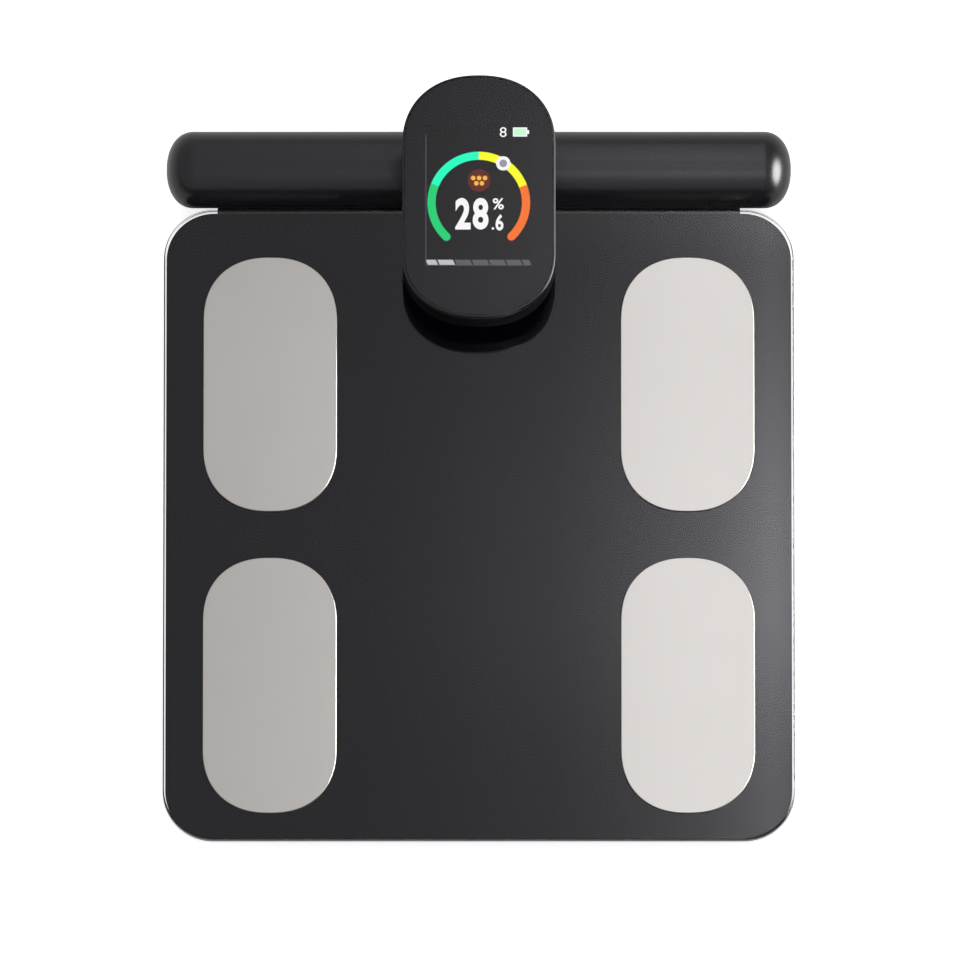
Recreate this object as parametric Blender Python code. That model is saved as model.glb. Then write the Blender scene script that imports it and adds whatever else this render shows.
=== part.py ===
"""Bathroom scale that also measures through the hands, modelled as its separate pieces.

A glass platform with four foot electrodes stands on four load cell feet. A hand bar with a display lies in
a dock behind the glass, and lifts off it on a cable that winds onto a sprung reel inside the platform.
Metres, +Z up, the floor at z = 0. +X is the user's right, and +Y points away from the user. The origin is
on the floor at the centre of the footprint.
"""

import math

import bmesh
import bpy

GAP = 0.0003  # left between pieces that touch

# Glass platform
GLASS_HALF_WIDTH = 0.150
GLASS_FRONT_Y = -0.180
GLASS_REAR_Y = 0.126
GLASS_CORNER = 0.024
GLASS_BOTTOM_Z = 0.022
GLASS_TOP_Z = 0.028
GLASS_ARRIS = 0.0008

# Foot electrodes on the glass
SOLE_X = 0.0993
SOLE_REAR_Y = 0.0406
SOLE_FRONT_Y = -0.1056
SOLE_HALF_WIDTH = 0.0317
SOLE_HALF_LENGTH = 0.06175
SOLE_END = 0.0313
SOLE_POWER = 2.28
SOLE_THICKNESS = 0.0009
STUD_RADIUS = 0.0025
STUD_BOTTOM_Z = 0.0185

# Base tray under the glass
TRAY_INSET = 0.006
TRAY_CORNER = GLASS_CORNER - TRAY_INSET
TRAY_BOTTOM_Z = 0.006
TRAY_WALL = 0.002
TRAY_FLOOR_Z = TRAY_BOTTOM_Z + TRAY_WALL
TRAY_TOP_Z = GLASS_BOTTOM_Z - GAP
TRAY_HALF_WIDTH = GLASS_HALF_WIDTH - TRAY_INSET
TRAY_FRONT_Y = GLASS_FRONT_Y + TRAY_INSET
TRAY_REAR_Y = GLASS_REAR_Y - TRAY_INSET

# Load cell feet
FOOT_X = 0.110
FOOT_REAR_Y = 0.088
FOOT_FRONT_Y = -0.142
FOOT_RADIUS = 0.018
PAD_RADIUS = 0.016
PAD_HEIGHT = 0.003
CELL_HALF = 0.017
CELL_BOTTOM_Z = 0.0126
CELL_THICKNESS = 0.0024
BRACKET_HALF = 0.021
BRACKET_RIM = 0.007

# Batteries and their door
BATTERY_RADIUS = 0.00525
BATTERY_LENGTH = 0.0445
BATTERY_SPACING = 0.0114
BATTERY_FRONT_Y = -0.0426
BATTERY_Z = 0.0139
BAY_HALF_WIDTH = 0.025
BAY_FRONT_Y = -0.049
BAY_REAR_Y = 0.006
BAY_TOP_Z = 0.0195
BAY_WALL = 0.0015
DOOR_HALF_WIDTH = 0.0237
DOOR_HINGE_Y = -0.045
DOOR_FRONT_Y = -0.0456
DOOR_REAR_Y = 0.0057
DOOR_BOTTOM_Z = 0.0061
DOOR_TOP_Z = 0.0078
DOOR_TAB_X = BATTERY_SPACING

# Main board and the unit button under it
BOARD_CENTRE_Y = -0.100
BOARD_HALF_WIDTH = 0.050
BOARD_HALF_DEPTH = 0.028
BOARD_BOTTOM_Z = 0.012
BOARD_THICKNESS = 0.0016
BUTTON_X = 0.030
BUTTON_RADIUS = 0.0045

# Cable reel
CABLE_RADIUS = 0.0015
CABLE_Z = 0.0125
REEL_X = -0.025
REEL_Y = 0.078
REEL_RADIUS = 0.0305
REEL_WALL = 0.0018
SPOOL_RADIUS = 0.0279
HUB_RADIUS = 0.0124
WINDING_RADIUS = 0.0265
SPRING_INNER_RADIUS = 0.0034
SPRING_OUTER_RADIUS = 0.0104
SPRING_TURNS = 5
SPRING_STRIP = 0.00035

# Hand bar
BAR_Y = 0.1452
BAR_Z = 0.0285
BAR_RADIUS = 0.0183
BAR_HALF_LENGTH = 0.1488
BAR_END = 0.0132
BAR_END_POWER = 2.2
BAR_WALL = 0.0024
ELECTRODE_DEPTH = 0.0006
ELECTRODE_INNER_X = 0.048
ELECTRODE_OUTER_X = 0.128
ELECTRODE_LOW_ANGLE = math.radians(12)
ELECTRODE_HIGH_ANGLE = math.radians(54)

# Dock behind the glass
DOCK_HALF_LENGTH = 0.1246
DOCK_BOTTOM_Z = 0.0050
DOCK_LIP_Z = 0.0185
DOCK_REAR_Y = 0.1640
DOCK_CLEARANCE = 0.0006
DOCK_POCKET_HALF_LENGTH = 0.085
DOCK_POCKET_HALF_DEPTH = 0.009
DOCK_POCKET_TOP_Z = 0.0082
DOCK_COVER_THICKNESS = 0.0014
MAGNET_X = 0.070
MAGNET_RADIUS = 0.005

# Cable between the dock and the bar
INLET_ANGLE = math.radians(47)  # from straight down, towards the user
CABLE_BEND = 0.006
RISER_BEND = 0.008
RISER_Y = 0.1475
RISER_TOP_Z = 0.0600

# Display module on the middle of the bar
DISPLAY_HALF_WIDTH = 0.0364
DISPLAY_FRONT_Y = 0.0645
DISPLAY_REAR_Y = 0.180
DISPLAY_FRONT_END = 0.0308
DISPLAY_REAR_END = 0.0332
DISPLAY_POWER = 2.22
DISPLAY_FRONT_Z = 0.0694
DISPLAY_TILT = math.radians(5)
DISPLAY_BOTTOM_Z = 0.043
BEZEL_WIDTH = 0.001
BEZEL_DEPTH = 0.005
BEZEL_LEDGE = 0.0035
COVER_THICKNESS = 0.0012
LCD_CENTRE_Y = 0.1229
LCD_HALF_WIDTH = 0.0275
LCD_HALF_LENGTH = 0.0375
SCREW_X = 0.020
SCREW_Y = 0.082

# colour, roughness, metallic
FINISHES = {
    "black_glass": ((0.012, 0.012, 0.014), 0.05, 0.0),
    "satin_steel": ((0.62, 0.61, 0.59), 0.32, 1.0),
    "black_abs": ((0.030, 0.030, 0.032), 0.50, 0.0),
    "satin_black": ((0.022, 0.022, 0.024), 0.34, 0.0),
    "gloss_black": ((0.010, 0.010, 0.011), 0.12, 0.0),
    "rubber": ((0.050, 0.050, 0.052), 0.85, 0.0),
    "zinc": ((0.60, 0.60, 0.58), 0.40, 1.0),
    "spring_steel": ((0.40, 0.40, 0.42), 0.30, 1.0),
    "nickel": ((0.70, 0.68, 0.62), 0.25, 1.0),
    "battery_wrap": ((0.05, 0.16, 0.38), 0.35, 0.0),
    "green_board": ((0.02, 0.16, 0.06), 0.45, 0.0),
    "natural_pom": ((0.75, 0.74, 0.70), 0.45, 0.0),
    "screen": ((0.020, 0.020, 0.024), 0.15, 0.0),
    "cable_pvc": ((0.025, 0.025, 0.026), 0.60, 0.0),
}


def clear_scene():
    for item in list(bpy.data.objects):
        bpy.data.objects.remove(item)


def make_material(name, finish):
    colour, roughness, metallic = FINISHES[finish]
    material = bpy.data.materials.new(name)
    material.use_nodes = True
    shader = material.node_tree.nodes["Principled BSDF"]
    shader.inputs["Base Color"].default_value = (*colour, 1.0)
    shader.inputs["Roughness"].default_value = roughness
    shader.inputs["Metallic"].default_value = metallic
    return material


def make_group(name, location):
    """An empty that carries the pieces of one rigid body, placed on that body's joint axis."""
    group = bpy.data.objects.new(name, None)
    group.empty_display_size = 0.02
    group.location = location
    bpy.context.scene.collection.objects.link(group)
    bpy.context.view_layer.update()
    return group


def make_object(name, bm, location=(0, 0, 0), rotation=(0, 0, 0)):
    bmesh.ops.recalc_face_normals(bm, faces=bm.faces)
    mesh = bpy.data.meshes.new(name)
    bm.to_mesh(mesh)
    bm.free()
    mesh.shade_smooth()
    mesh.set_sharp_from_angle(angle=math.radians(30))
    item = bpy.data.objects.new(name, mesh)
    item.location = location
    item.rotation_euler = rotation
    bpy.context.scene.collection.objects.link(item)
    return item


def finish_piece(item, finish, group):
    item.data.materials.append(make_material(item.name, finish))
    bpy.context.view_layer.update()
    item.parent = group
    item.matrix_parent_inverse = group.matrix_world.inverted()
    return item


def hide_helper(item):
    item.hide_render = True
    item.display_type = "WIRE"
    return item


def combine(item, helper, operation):
    modifier = item.modifiers.new(helper.name, "BOOLEAN")
    modifier.operation = operation
    modifier.object = hide_helper(helper)
    modifier.solver = "EXACT"


def cut(item, *helpers):
    for helper in helpers:
        combine(item, helper, "DIFFERENCE")


def add_to(item, *helpers):
    for helper in helpers:
        combine(item, helper, "UNION")


def skin(rings, loop=False):
    """A closed mesh through rings of points. A ring of one point is a pole.

    With loop the last ring joins the first; without it the first and last rings are capped.
    """
    bm = bmesh.new()
    rows = [[bm.verts.new(point) for point in ring] for ring in rings]
    count = max(len(row) for row in rows)
    pairs = list(zip(rows, rows[1:]))
    if loop:
        pairs.append((rows[-1], rows[0]))
    for lower, upper in pairs:
        for index in range(count):
            following = (index + 1) % count
            corners = [
                lower[index % len(lower)],
                lower[following % len(lower)],
                upper[following % len(upper)],
                upper[index % len(upper)],
            ]
            bm.faces.new(list(dict.fromkeys(corners)))
    if not loop:
        for row in (rows[0], rows[-1]):
            if len(row) > 1:
                bm.faces.new(row)
    return bm


def turned(name, profile, centre, axis="Z", segments=24, loop=False):
    """A turned piece from (radius, height) points, its axis through centre along X, Y or Z."""
    rings = []
    for radius, height in profile:
        if radius == 0:
            rings.append([(0, 0, height)])
            continue
        angles = [2 * math.pi * step / segments for step in range(segments)]
        rings.append([(radius * math.cos(a), radius * math.sin(a), height) for a in angles])
    quarter = math.radians(90)
    rotation = {"X": (0, quarter, 0), "Y": (-quarter, 0, 0), "Z": (0, 0, 0)}[axis]
    return make_object(name, skin(rings, loop), centre, rotation)


def rod(name, radius, start, end, centre, axis="Z", segments=16):
    profile = [(0, start), (radius, start), (radius, end), (0, end)]
    return turned(name, profile, centre, axis, segments)


def block(name, low, high):
    (x0, y0, z0), (x1, y1, z1) = low, high
    base = [(x0, y0, z0), (x1, y0, z0), (x1, y1, z0), (x0, y1, z0)]
    top = [(x0, y0, z1), (x1, y0, z1), (x1, y1, z1), (x0, y1, z1)]
    return make_object(name, skin([base, top]))


def outline(half_width, front_y, rear_y, corner, ends, power=2.0, steps=6, inset=0.0):
    """Points of a plan shape with four rounded corners, anticlockwise from its +X side.

    corner is how far the corners reach along X, ends how far the front and rear ones reach along Y, and
    power their superellipse exponent, where 2 is a plain ellipse.
    """
    front_end, rear_end = ends
    points = []
    for side_x, side_y in ((1, 1), (-1, 1), (-1, -1), (1, -1)):
        reach = rear_end if side_y > 0 else front_end
        edge = rear_y if side_y > 0 else front_y
        for step in range(steps + 1):
            share = step / steps if side_x * side_y > 0 else 1 - step / steps
            across = (corner - inset) * max(math.cos(share * math.pi / 2), 0) ** (2 / power)
            along = (reach - inset) * max(math.sin(share * math.pi / 2), 0) ** (2 / power)
            x = side_x * (half_width - corner + across)
            y = edge - side_y * (reach - along)
            points.append((x, y))
    return points


def level(points, z, centre=(0, 0)):
    return [(x + centre[0], y + centre[1], z) for x, y in points]


def rounded_square(half, corner, inset=0.0, steps=3):
    return outline(half, -half, half, corner, (corner, corner), steps=steps, inset=inset)


# ---- Platform -------------------------------------------------------------------------------------------


def corner_places(x, front_y, rear_y):
    """The four (name, x, y) places that the feet and the foot electrodes repeat at."""
    places = []
    for end, y in (("front", front_y), ("rear", rear_y)):
        for side, sign in (("left", -1), ("right", 1)):
            places.append((f"{end}_{side}", sign * x, y))
    return places


def glass_platform(group):
    rings = []
    for inset, z in (
        (GLASS_ARRIS, GLASS_BOTTOM_Z),
        (0, GLASS_BOTTOM_Z + GLASS_ARRIS),
        (0, GLASS_TOP_Z - GLASS_ARRIS),
        (GLASS_ARRIS, GLASS_TOP_Z),
    ):
        plan = outline(
            GLASS_HALF_WIDTH, GLASS_FRONT_Y, GLASS_REAR_Y, GLASS_CORNER,
            (GLASS_CORNER, GLASS_CORNER), steps=7, inset=inset,
        )
        rings.append(level(plan, z))
    glass = make_object("glass_platform", skin(rings))
    for place, x, y in corner_places(SOLE_X, SOLE_FRONT_Y, SOLE_REAR_Y):
        hole = rod(f"stud_hole_{place}", STUD_RADIUS + 0.0007, 0.020, 0.030, (x, y, 0), segments=12)
        cut(glass, hole)
    finish_piece(glass, "black_glass", group)


def sole_electrodes(group):
    """Steel plates for the soles, each with the stud that carries its contact down through the glass."""
    bottom = GLASS_TOP_Z + GAP
    top = bottom + SOLE_THICKNESS
    for place, x, y in corner_places(SOLE_X, SOLE_FRONT_Y, SOLE_REAR_Y):
        stud = outline(
            STUD_RADIUS, -STUD_RADIUS, STUD_RADIUS, STUD_RADIUS * 0.95,
            (STUD_RADIUS * 0.95, STUD_RADIUS * 0.95),
        )
        rings = [level(stud, STUD_BOTTOM_Z, (x, y)), level(stud, bottom, (x, y))]
        for inset, z in ((0, bottom), (0, top - 0.0003), (0.0004, top)):
            plan = outline(
                SOLE_HALF_WIDTH, -SOLE_HALF_LENGTH, SOLE_HALF_LENGTH, SOLE_HALF_WIDTH * 0.99,
                (SOLE_END, SOLE_END), SOLE_POWER, inset=inset,
            )
            rings.append(level(plan, z, (x, y)))
        finish_piece(make_object(f"sole_electrode_{place}", skin(rings)), "satin_steel", group)


def base_tray(group):
    rings = []
    for inset, z in (
        (0.0030, TRAY_BOTTOM_Z),
        (0.0009, TRAY_BOTTOM_Z + 0.0009),
        (0, TRAY_BOTTOM_Z + 0.003),
        (0, TRAY_TOP_Z),
        (TRAY_WALL, TRAY_TOP_Z),
        (TRAY_WALL, TRAY_BOTTOM_Z + 0.004),
        (TRAY_WALL + 0.002, TRAY_FLOOR_Z),
    ):
        plan = outline(
            TRAY_HALF_WIDTH, TRAY_FRONT_Y, TRAY_REAR_Y, TRAY_CORNER, (TRAY_CORNER, TRAY_CORNER),
            steps=5, inset=inset,
        )
        rings.append(level(plan, z))
    tray = make_object("base_tray", skin(rings))
    add_to(tray, block(
        "bay_shell",
        (-BAY_HALF_WIDTH - BAY_WALL, BAY_FRONT_Y - BAY_WALL, TRAY_BOTTOM_Z + 0.001),
        (BAY_HALF_WIDTH + BAY_WALL, BAY_REAR_Y + BAY_WALL, BAY_TOP_Z + BAY_WALL),
    ))
    for place, x, y in corner_places(0.040, BOARD_CENTRE_Y - 0.022, BOARD_CENTRE_Y + 0.022):
        post = rod(f"board_post_{place}", 0.0025, TRAY_FLOOR_Z - 0.001, BOARD_BOTTOM_Z - GAP, (x, y, 0),
                   segments=10)
        add_to(tray, post)
    cut(tray, block(
        "bay_room",
        (-BAY_HALF_WIDTH, BAY_FRONT_Y, TRAY_FLOOR_Z),
        (BAY_HALF_WIDTH, BAY_REAR_Y, BAY_TOP_Z),
    ))
    cut(tray, block(
        "door_opening",
        (-DOOR_HALF_WIDTH - GAP, DOOR_FRONT_Y - 0.0006, TRAY_BOTTOM_Z - 0.002),
        (DOOR_HALF_WIDTH + GAP, DOOR_REAR_Y + GAP, TRAY_FLOOR_Z + 0.002),
    ))
    for place, x, y in corner_places(FOOT_X, FOOT_FRONT_Y, FOOT_REAR_Y):
        hole = rod(f"foot_hole_{place}", FOOT_RADIUS + 0.001, 0.004, 0.010, (x, y, 0), segments=24)
        cut(tray, hole)
    cut(tray, rod("button_hole", BUTTON_RADIUS + 0.0004, 0.004, 0.010, (BUTTON_X, BOARD_CENTRE_Y, 0)))
    cut(tray, rod("cable_hole", CABLE_RADIUS + 0.0009, 0.116, 0.122, (0, 0, CABLE_Z), "Y", 12))
    finish_piece(tray, "black_abs", group)


def load_cell_feet(group):
    """At each corner a bracket under the glass, a strain gauge plate, a foot on its tongue and its pad."""
    for place, x, y in corner_places(FOOT_X, FOOT_FRONT_Y, FOOT_REAR_Y):
        centre = (x, y)
        cell_top = CELL_BOTTOM_Z + CELL_THICKNESS
        outer = rounded_square(BRACKET_HALF, 0.004)
        inner = rounded_square(BRACKET_HALF, 0.0085, BRACKET_RIM)
        bracket = make_object(f"load_cell_bracket_{place}", skin([
            level(outer, TRAY_TOP_Z, centre),
            level(outer, cell_top + GAP, centre),
            level(inner, cell_top + GAP, centre),
            level(inner, TRAY_TOP_Z - 0.002, centre),
        ]))
        finish_piece(bracket, "natural_pom", group)

        plate = rounded_square(CELL_HALF, 0.002)
        cell = make_object(f"load_cell_{place}", skin([
            level(plate, CELL_BOTTOM_Z, centre), level(plate, cell_top, centre),
        ]))
        arm, slot, reach = 0.0105, 0.003, 0.011
        slot_plan = [
            (-arm, -reach), (-arm + slot, -reach), (-arm + slot, reach - slot),
            (arm - slot, reach - slot), (arm - slot, -reach), (arm, -reach), (arm, reach), (-arm, reach),
        ]
        cut(cell, make_object(f"cell_slot_{place}", skin([
            level(slot_plan, CELL_BOTTOM_Z - 0.001, centre), level(slot_plan, cell_top + 0.001, centre),
        ])))
        finish_piece(cell, "zinc", group)

        foot = turned(f"foot_cup_{place}", [
            (0, PAD_HEIGHT + GAP),
            (FOOT_RADIUS - 0.0012, PAD_HEIGHT + GAP),
            (FOOT_RADIUS, PAD_HEIGHT + 0.0015),
            (FOOT_RADIUS, 0.0095),
            (0.005, 0.0095),
            (0.005, CELL_BOTTOM_Z - GAP),
            (0, CELL_BOTTOM_Z - GAP),
        ], (x, y, 0))
        finish_piece(foot, "black_abs", group)

        pad = turned(f"foot_pad_{place}", [
            (0, 0), (PAD_RADIUS - 0.0014, 0), (PAD_RADIUS, 0.001), (PAD_RADIUS, PAD_HEIGHT), (0, PAD_HEIGHT),
        ], (x, y, 0))
        finish_piece(pad, "rubber", group)


def main_board(group):
    bottom = BOARD_BOTTOM_Z
    top = bottom + BOARD_THICKNESS
    board = block(
        "main_board",
        (-BOARD_HALF_WIDTH, BOARD_CENTRE_Y - BOARD_HALF_DEPTH, bottom),
        (BOARD_HALF_WIDTH, BOARD_CENTRE_Y + BOARD_HALF_DEPTH, top),
    )
    # name, centre x, centre y from the board's, half width, half depth, height above the board
    for name, x, y, half_width, half_depth, height in (
        ("processor", -0.012, 0.004, 0.0050, 0.0050, 0.0014),
        ("radio", 0.018, 0.010, 0.0080, 0.0060, 0.0022),
        ("converter", -0.036, -0.004, 0.0040, 0.0030, 0.0016),
        ("cell_socket", -0.020, -0.022, 0.0110, 0.0030, 0.0052),
        ("handle_socket", 0.006, 0.023, 0.0060, 0.0030, 0.0052),
        ("sole_socket", 0.030, -0.022, 0.0080, 0.0030, 0.0052),
    ):
        centre_y = BOARD_CENTRE_Y + y
        add_to(board, block(
            name,
            (x - half_width, centre_y - half_depth, top - 0.0005),
            (x + half_width, centre_y + half_depth, top + height),
        ))
    switch = 0.003
    add_to(board, block(
        "unit_switch",
        (BUTTON_X - switch, BOARD_CENTRE_Y - switch, bottom - 0.0015),
        (BUTTON_X + switch, BOARD_CENTRE_Y + switch, bottom + 0.0005),
    ))
    finish_piece(board, "green_board", group)


def unit_button(group):
    stem = turned("unit_button", [
        (0, 0.0063),
        (BUTTON_RADIUS - 0.0006, 0.0063),
        (BUTTON_RADIUS, 0.0067),
        (BUTTON_RADIUS, TRAY_FLOOR_Z + GAP),
        (0.006, TRAY_FLOOR_Z + GAP),
        (0.006, TRAY_FLOOR_Z + GAP + 0.0009),
        (0, TRAY_FLOOR_Z + GAP + 0.0009),
    ], (BUTTON_X, BOARD_CENTRE_Y, 0), segments=20)
    finish_piece(stem, "satin_black", group)


# ---- Batteries ------------------------------------------------------------------------------------------


def battery_x(index):
    return (index - 1.5) * BATTERY_SPACING


def batteries(group):
    """Four cells side by side, every second one turned round."""
    nub = 0.0010
    for index in range(4):
        turned_round = index % 2
        profile = [
            (0, 0), (BATTERY_RADIUS - 0.0005, 0), (BATTERY_RADIUS, 0.0005),
            (BATTERY_RADIUS, BATTERY_LENGTH - nub - 0.0005), (BATTERY_RADIUS - 0.0005, BATTERY_LENGTH - nub),
            (0.0019, BATTERY_LENGTH - nub), (0.0019, BATTERY_LENGTH), (0, BATTERY_LENGTH),
        ]
        start = BATTERY_FRONT_Y + (BATTERY_LENGTH if turned_round else 0)
        battery = turned(f"battery_{index + 1}", profile, (battery_x(index), start, BATTERY_Z), "Y", 16)
        if turned_round:
            battery.rotation_euler.x += math.pi
        finish_piece(battery, "battery_wrap", group)


def battery_contacts(group):
    """Nickel strips at both ends of the bay: a spring faces each battery's flat end, a nub its tip."""
    battery_rear_y = BATTERY_FRONT_Y + BATTERY_LENGTH
    strip = 0.0005
    for name, wall_y, tip_y, sign in (
        ("front", BAY_FRONT_Y + GAP, BATTERY_FRONT_Y - GAP, 1),
        ("rear", BAY_REAR_Y - GAP, battery_rear_y + GAP, -1),
    ):
        face_y = wall_y + sign * strip
        low_y, high_y = sorted((wall_y, face_y))
        contacts = block(
            f"battery_contacts_{name}",
            (-0.0225, low_y, BATTERY_Z - 0.0038),
            (0.0225, high_y, BATTERY_Z + 0.0048),
        )
        for index in range(4):
            flat_end = (index % 2 == 0) == (sign > 0)
            reach = abs(tip_y - face_y)
            foot, tip = (0.0032, 0.0020) if flat_end else (0.0024, 0.0014)
            profile = [(0, -strip / 2), (foot, -strip / 2), (foot, reach * 0.4), (tip, reach), (0, reach)]
            item = turned(f"contact_{name}_{index}", profile, (battery_x(index), face_y, BATTERY_Z), "Y", 10)
            if sign < 0:
                item.rotation_euler.x += math.pi
            add_to(contacts, item)
        finish_piece(contacts, "nickel", group)


def battery_door(group):
    """Door on two tabs that hook over the bay's front lip, with a finger notch at its rear edge."""
    door = block(
        "battery_door",
        (-DOOR_HALF_WIDTH, DOOR_FRONT_Y, DOOR_BOTTOM_Z),
        (DOOR_HALF_WIDTH, DOOR_REAR_Y, DOOR_TOP_Z),
    )
    for side in (-1, 1):
        x = side * DOOR_TAB_X
        root_y = DOOR_HINGE_Y - 0.0004
        profile = [
            (root_y, DOOR_TOP_Z - 0.0005), (root_y + 0.0015, DOOR_TOP_Z - 0.0005),
            (root_y + 0.0015, 0.0096), (root_y - 0.0026, 0.0096),
            (root_y - 0.0026, TRAY_FLOOR_Z + 0.0004), (root_y, TRAY_FLOOR_Z + 0.0004),
        ]
        rings = [[(x + edge, y, z) for y, z in profile] for edge in (-0.0017, 0.0017)]
        add_to(door, make_object(f"door_tab_{side + 1}", skin(rings)))
    for index in range(3):
        y = DOOR_REAR_Y - 0.006 - index * 0.003
        high = (0.008, y + 0.0012, DOOR_BOTTOM_Z + 0.0006)
        cut(door, block(f"grip_groove_{index}", (-0.008, y, 0.005), high))
    finish_piece(door, "black_abs", group)


# ---- Cable reel -----------------------------------------------------------------------------------------


def reel_housing(group):
    floor = TRAY_FLOOR_Z + GAP
    cup = turned("reel_housing", [
        (0, floor), (REEL_RADIUS, floor), (REEL_RADIUS, 0.0199), (REEL_RADIUS - REEL_WALL, 0.0199),
        (REEL_RADIUS - REEL_WALL, floor + 0.0012), (0, floor + 0.0012),
    ], (REEL_X, REEL_Y, 0), segments=32)
    cut(cup, block("cable_exit", (-0.0024, REEL_Y + 0.009, 0.0100), (0.0026, REEL_Y + 0.024, 0.0150)))
    finish_piece(cup, "black_abs", group)


def reel_lid(group):
    lid = turned("reel_lid", [(0, 0.0202), (REEL_RADIUS, 0.0202), (REEL_RADIUS, 0.0214), (0, 0.0214)],
                 (REEL_X, REEL_Y, 0), segments=32)
    finish_piece(lid, "black_abs", group)


def reel_axle(group):
    axle = rod("reel_axle", 0.0025, 0.0098, 0.0199, (REEL_X, REEL_Y, 0), segments=16)
    finish_piece(axle, "spring_steel", group)


def reel_spring(group):
    """Flat spiral spring round the axle, inside the spool's hub."""
    steps_per_turn = 16
    inner_side, outer_side = [], []
    for step in range(SPRING_TURNS * steps_per_turn + 1):
        share = step / (SPRING_TURNS * steps_per_turn)
        angle = 2 * math.pi * SPRING_TURNS * share
        radius = SPRING_INNER_RADIUS + (SPRING_OUTER_RADIUS - SPRING_INNER_RADIUS) * share
        for side, offset in ((inner_side, 0), (outer_side, SPRING_STRIP)):
            side.append(((radius + offset) * math.cos(angle), (radius + offset) * math.sin(angle)))
    strip = inner_side + outer_side[::-1]
    centre = (REEL_X, REEL_Y)
    bm = bmesh.new()
    low = [bm.verts.new(point) for point in level(strip, 0.0102, centre)]
    high = [bm.verts.new(point) for point in level(strip, 0.0165, centre)]
    count = len(strip)
    for index in range(count):
        following = (index + 1) % count
        bm.faces.new((low[index], low[following], high[following], high[index]))
    for index in range(count // 2 - 1):
        other = count - 1 - index
        bm.faces.new((low[index], low[other], low[other - 1], low[index + 1]))
        bm.faces.new((high[index], high[index + 1], high[other - 1], high[other]))
    finish_piece(make_object("reel_spring", bm), "spring_steel", group)


def spool(group):
    top, bottom = 0.0196, 0.0098
    piece = turned("reel_spool", [
        (0.0028, top), (SPOOL_RADIUS, top), (SPOOL_RADIUS, top - 0.0011), (HUB_RADIUS, top - 0.0011),
        (HUB_RADIUS, bottom + 0.0010), (SPOOL_RADIUS, bottom + 0.0010), (SPOOL_RADIUS, bottom),
        (HUB_RADIUS - 0.0012, bottom), (HUB_RADIUS - 0.0012, top - 0.0015), (0.0028, top - 0.0015),
    ], (REEL_X, REEL_Y, 0), segments=32, loop=True)
    finish_piece(piece, "natural_pom", group)
    winding = turned("cable_winding", [
        (HUB_RADIUS + GAP, 0.0111), (WINDING_RADIUS - 0.0010, 0.0111), (WINDING_RADIUS, 0.0120),
        (WINDING_RADIUS, 0.0172), (WINDING_RADIUS - 0.0010, 0.0181), (HUB_RADIUS + GAP, 0.0181),
    ], (REEL_X, REEL_Y, 0), segments=32, loop=True)
    finish_piece(winding, "cable_pvc", group)


def tube(name, points):
    """A round cable along points, as a curve with filled ends."""
    curve = bpy.data.curves.new(name, "CURVE")
    curve.dimensions = "3D"
    curve.bevel_depth = CABLE_RADIUS
    curve.bevel_resolution = 2
    curve.use_fill_caps = True
    spline = curve.splines.new("POLY")
    spline.points.add(len(points) - 1)
    for target, point in zip(spline.points, points):
        target.co = (*point, 1.0)
    item = bpy.data.objects.new(name, curve)
    bpy.context.scene.collection.objects.link(item)
    return item


def inlet_point(distance=0.0):
    """(y, z) on the line that the cable enters the bar along, this far inside the bar's skin."""
    y = BAR_Y - BAR_RADIUS * math.sin(INLET_ANGLE) + distance * math.sin(INLET_ANGLE)
    z = BAR_Z - BAR_RADIUS * math.cos(INLET_ANGLE) + distance * math.cos(INLET_ANGLE)
    return y, z


def cable_lead(group):
    """The cable from the reel's exit, back through the tray's wall and up through the dock's gland."""
    steepness = math.radians(90) - INLET_ANGLE
    end_y, end_z = inlet_point(-GAP)
    straight = (end_z - CABLE_Z - CABLE_BEND * (1 - math.cos(steepness))) / math.sin(steepness)
    bend_y = end_y - straight * math.cos(steepness) - CABLE_BEND * math.sin(steepness)
    start_y = REEL_Y + 0.0138
    points = [(0, start_y + (bend_y - start_y) * step / 6, CABLE_Z) for step in range(6)]
    for step in range(7):
        angle = steepness * step / 6
        rise = CABLE_BEND * (1 - math.cos(angle))
        points.append((0, bend_y + CABLE_BEND * math.sin(angle), CABLE_Z + rise))
    points.append((0, end_y, end_z))
    finish_piece(tube("cable_lead", points), "cable_pvc", group)


# ---- Dock -----------------------------------------------------------------------------------------------


def slanted_rod(name, radius, start, end):
    """A rod on the cable's line into the bar, from start to end along it from the bar's skin."""
    y, z = inlet_point()
    item = rod(name, radius, start, end, (0, y, z))
    item.rotation_euler.x = -INLET_ANGLE
    return item


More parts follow.
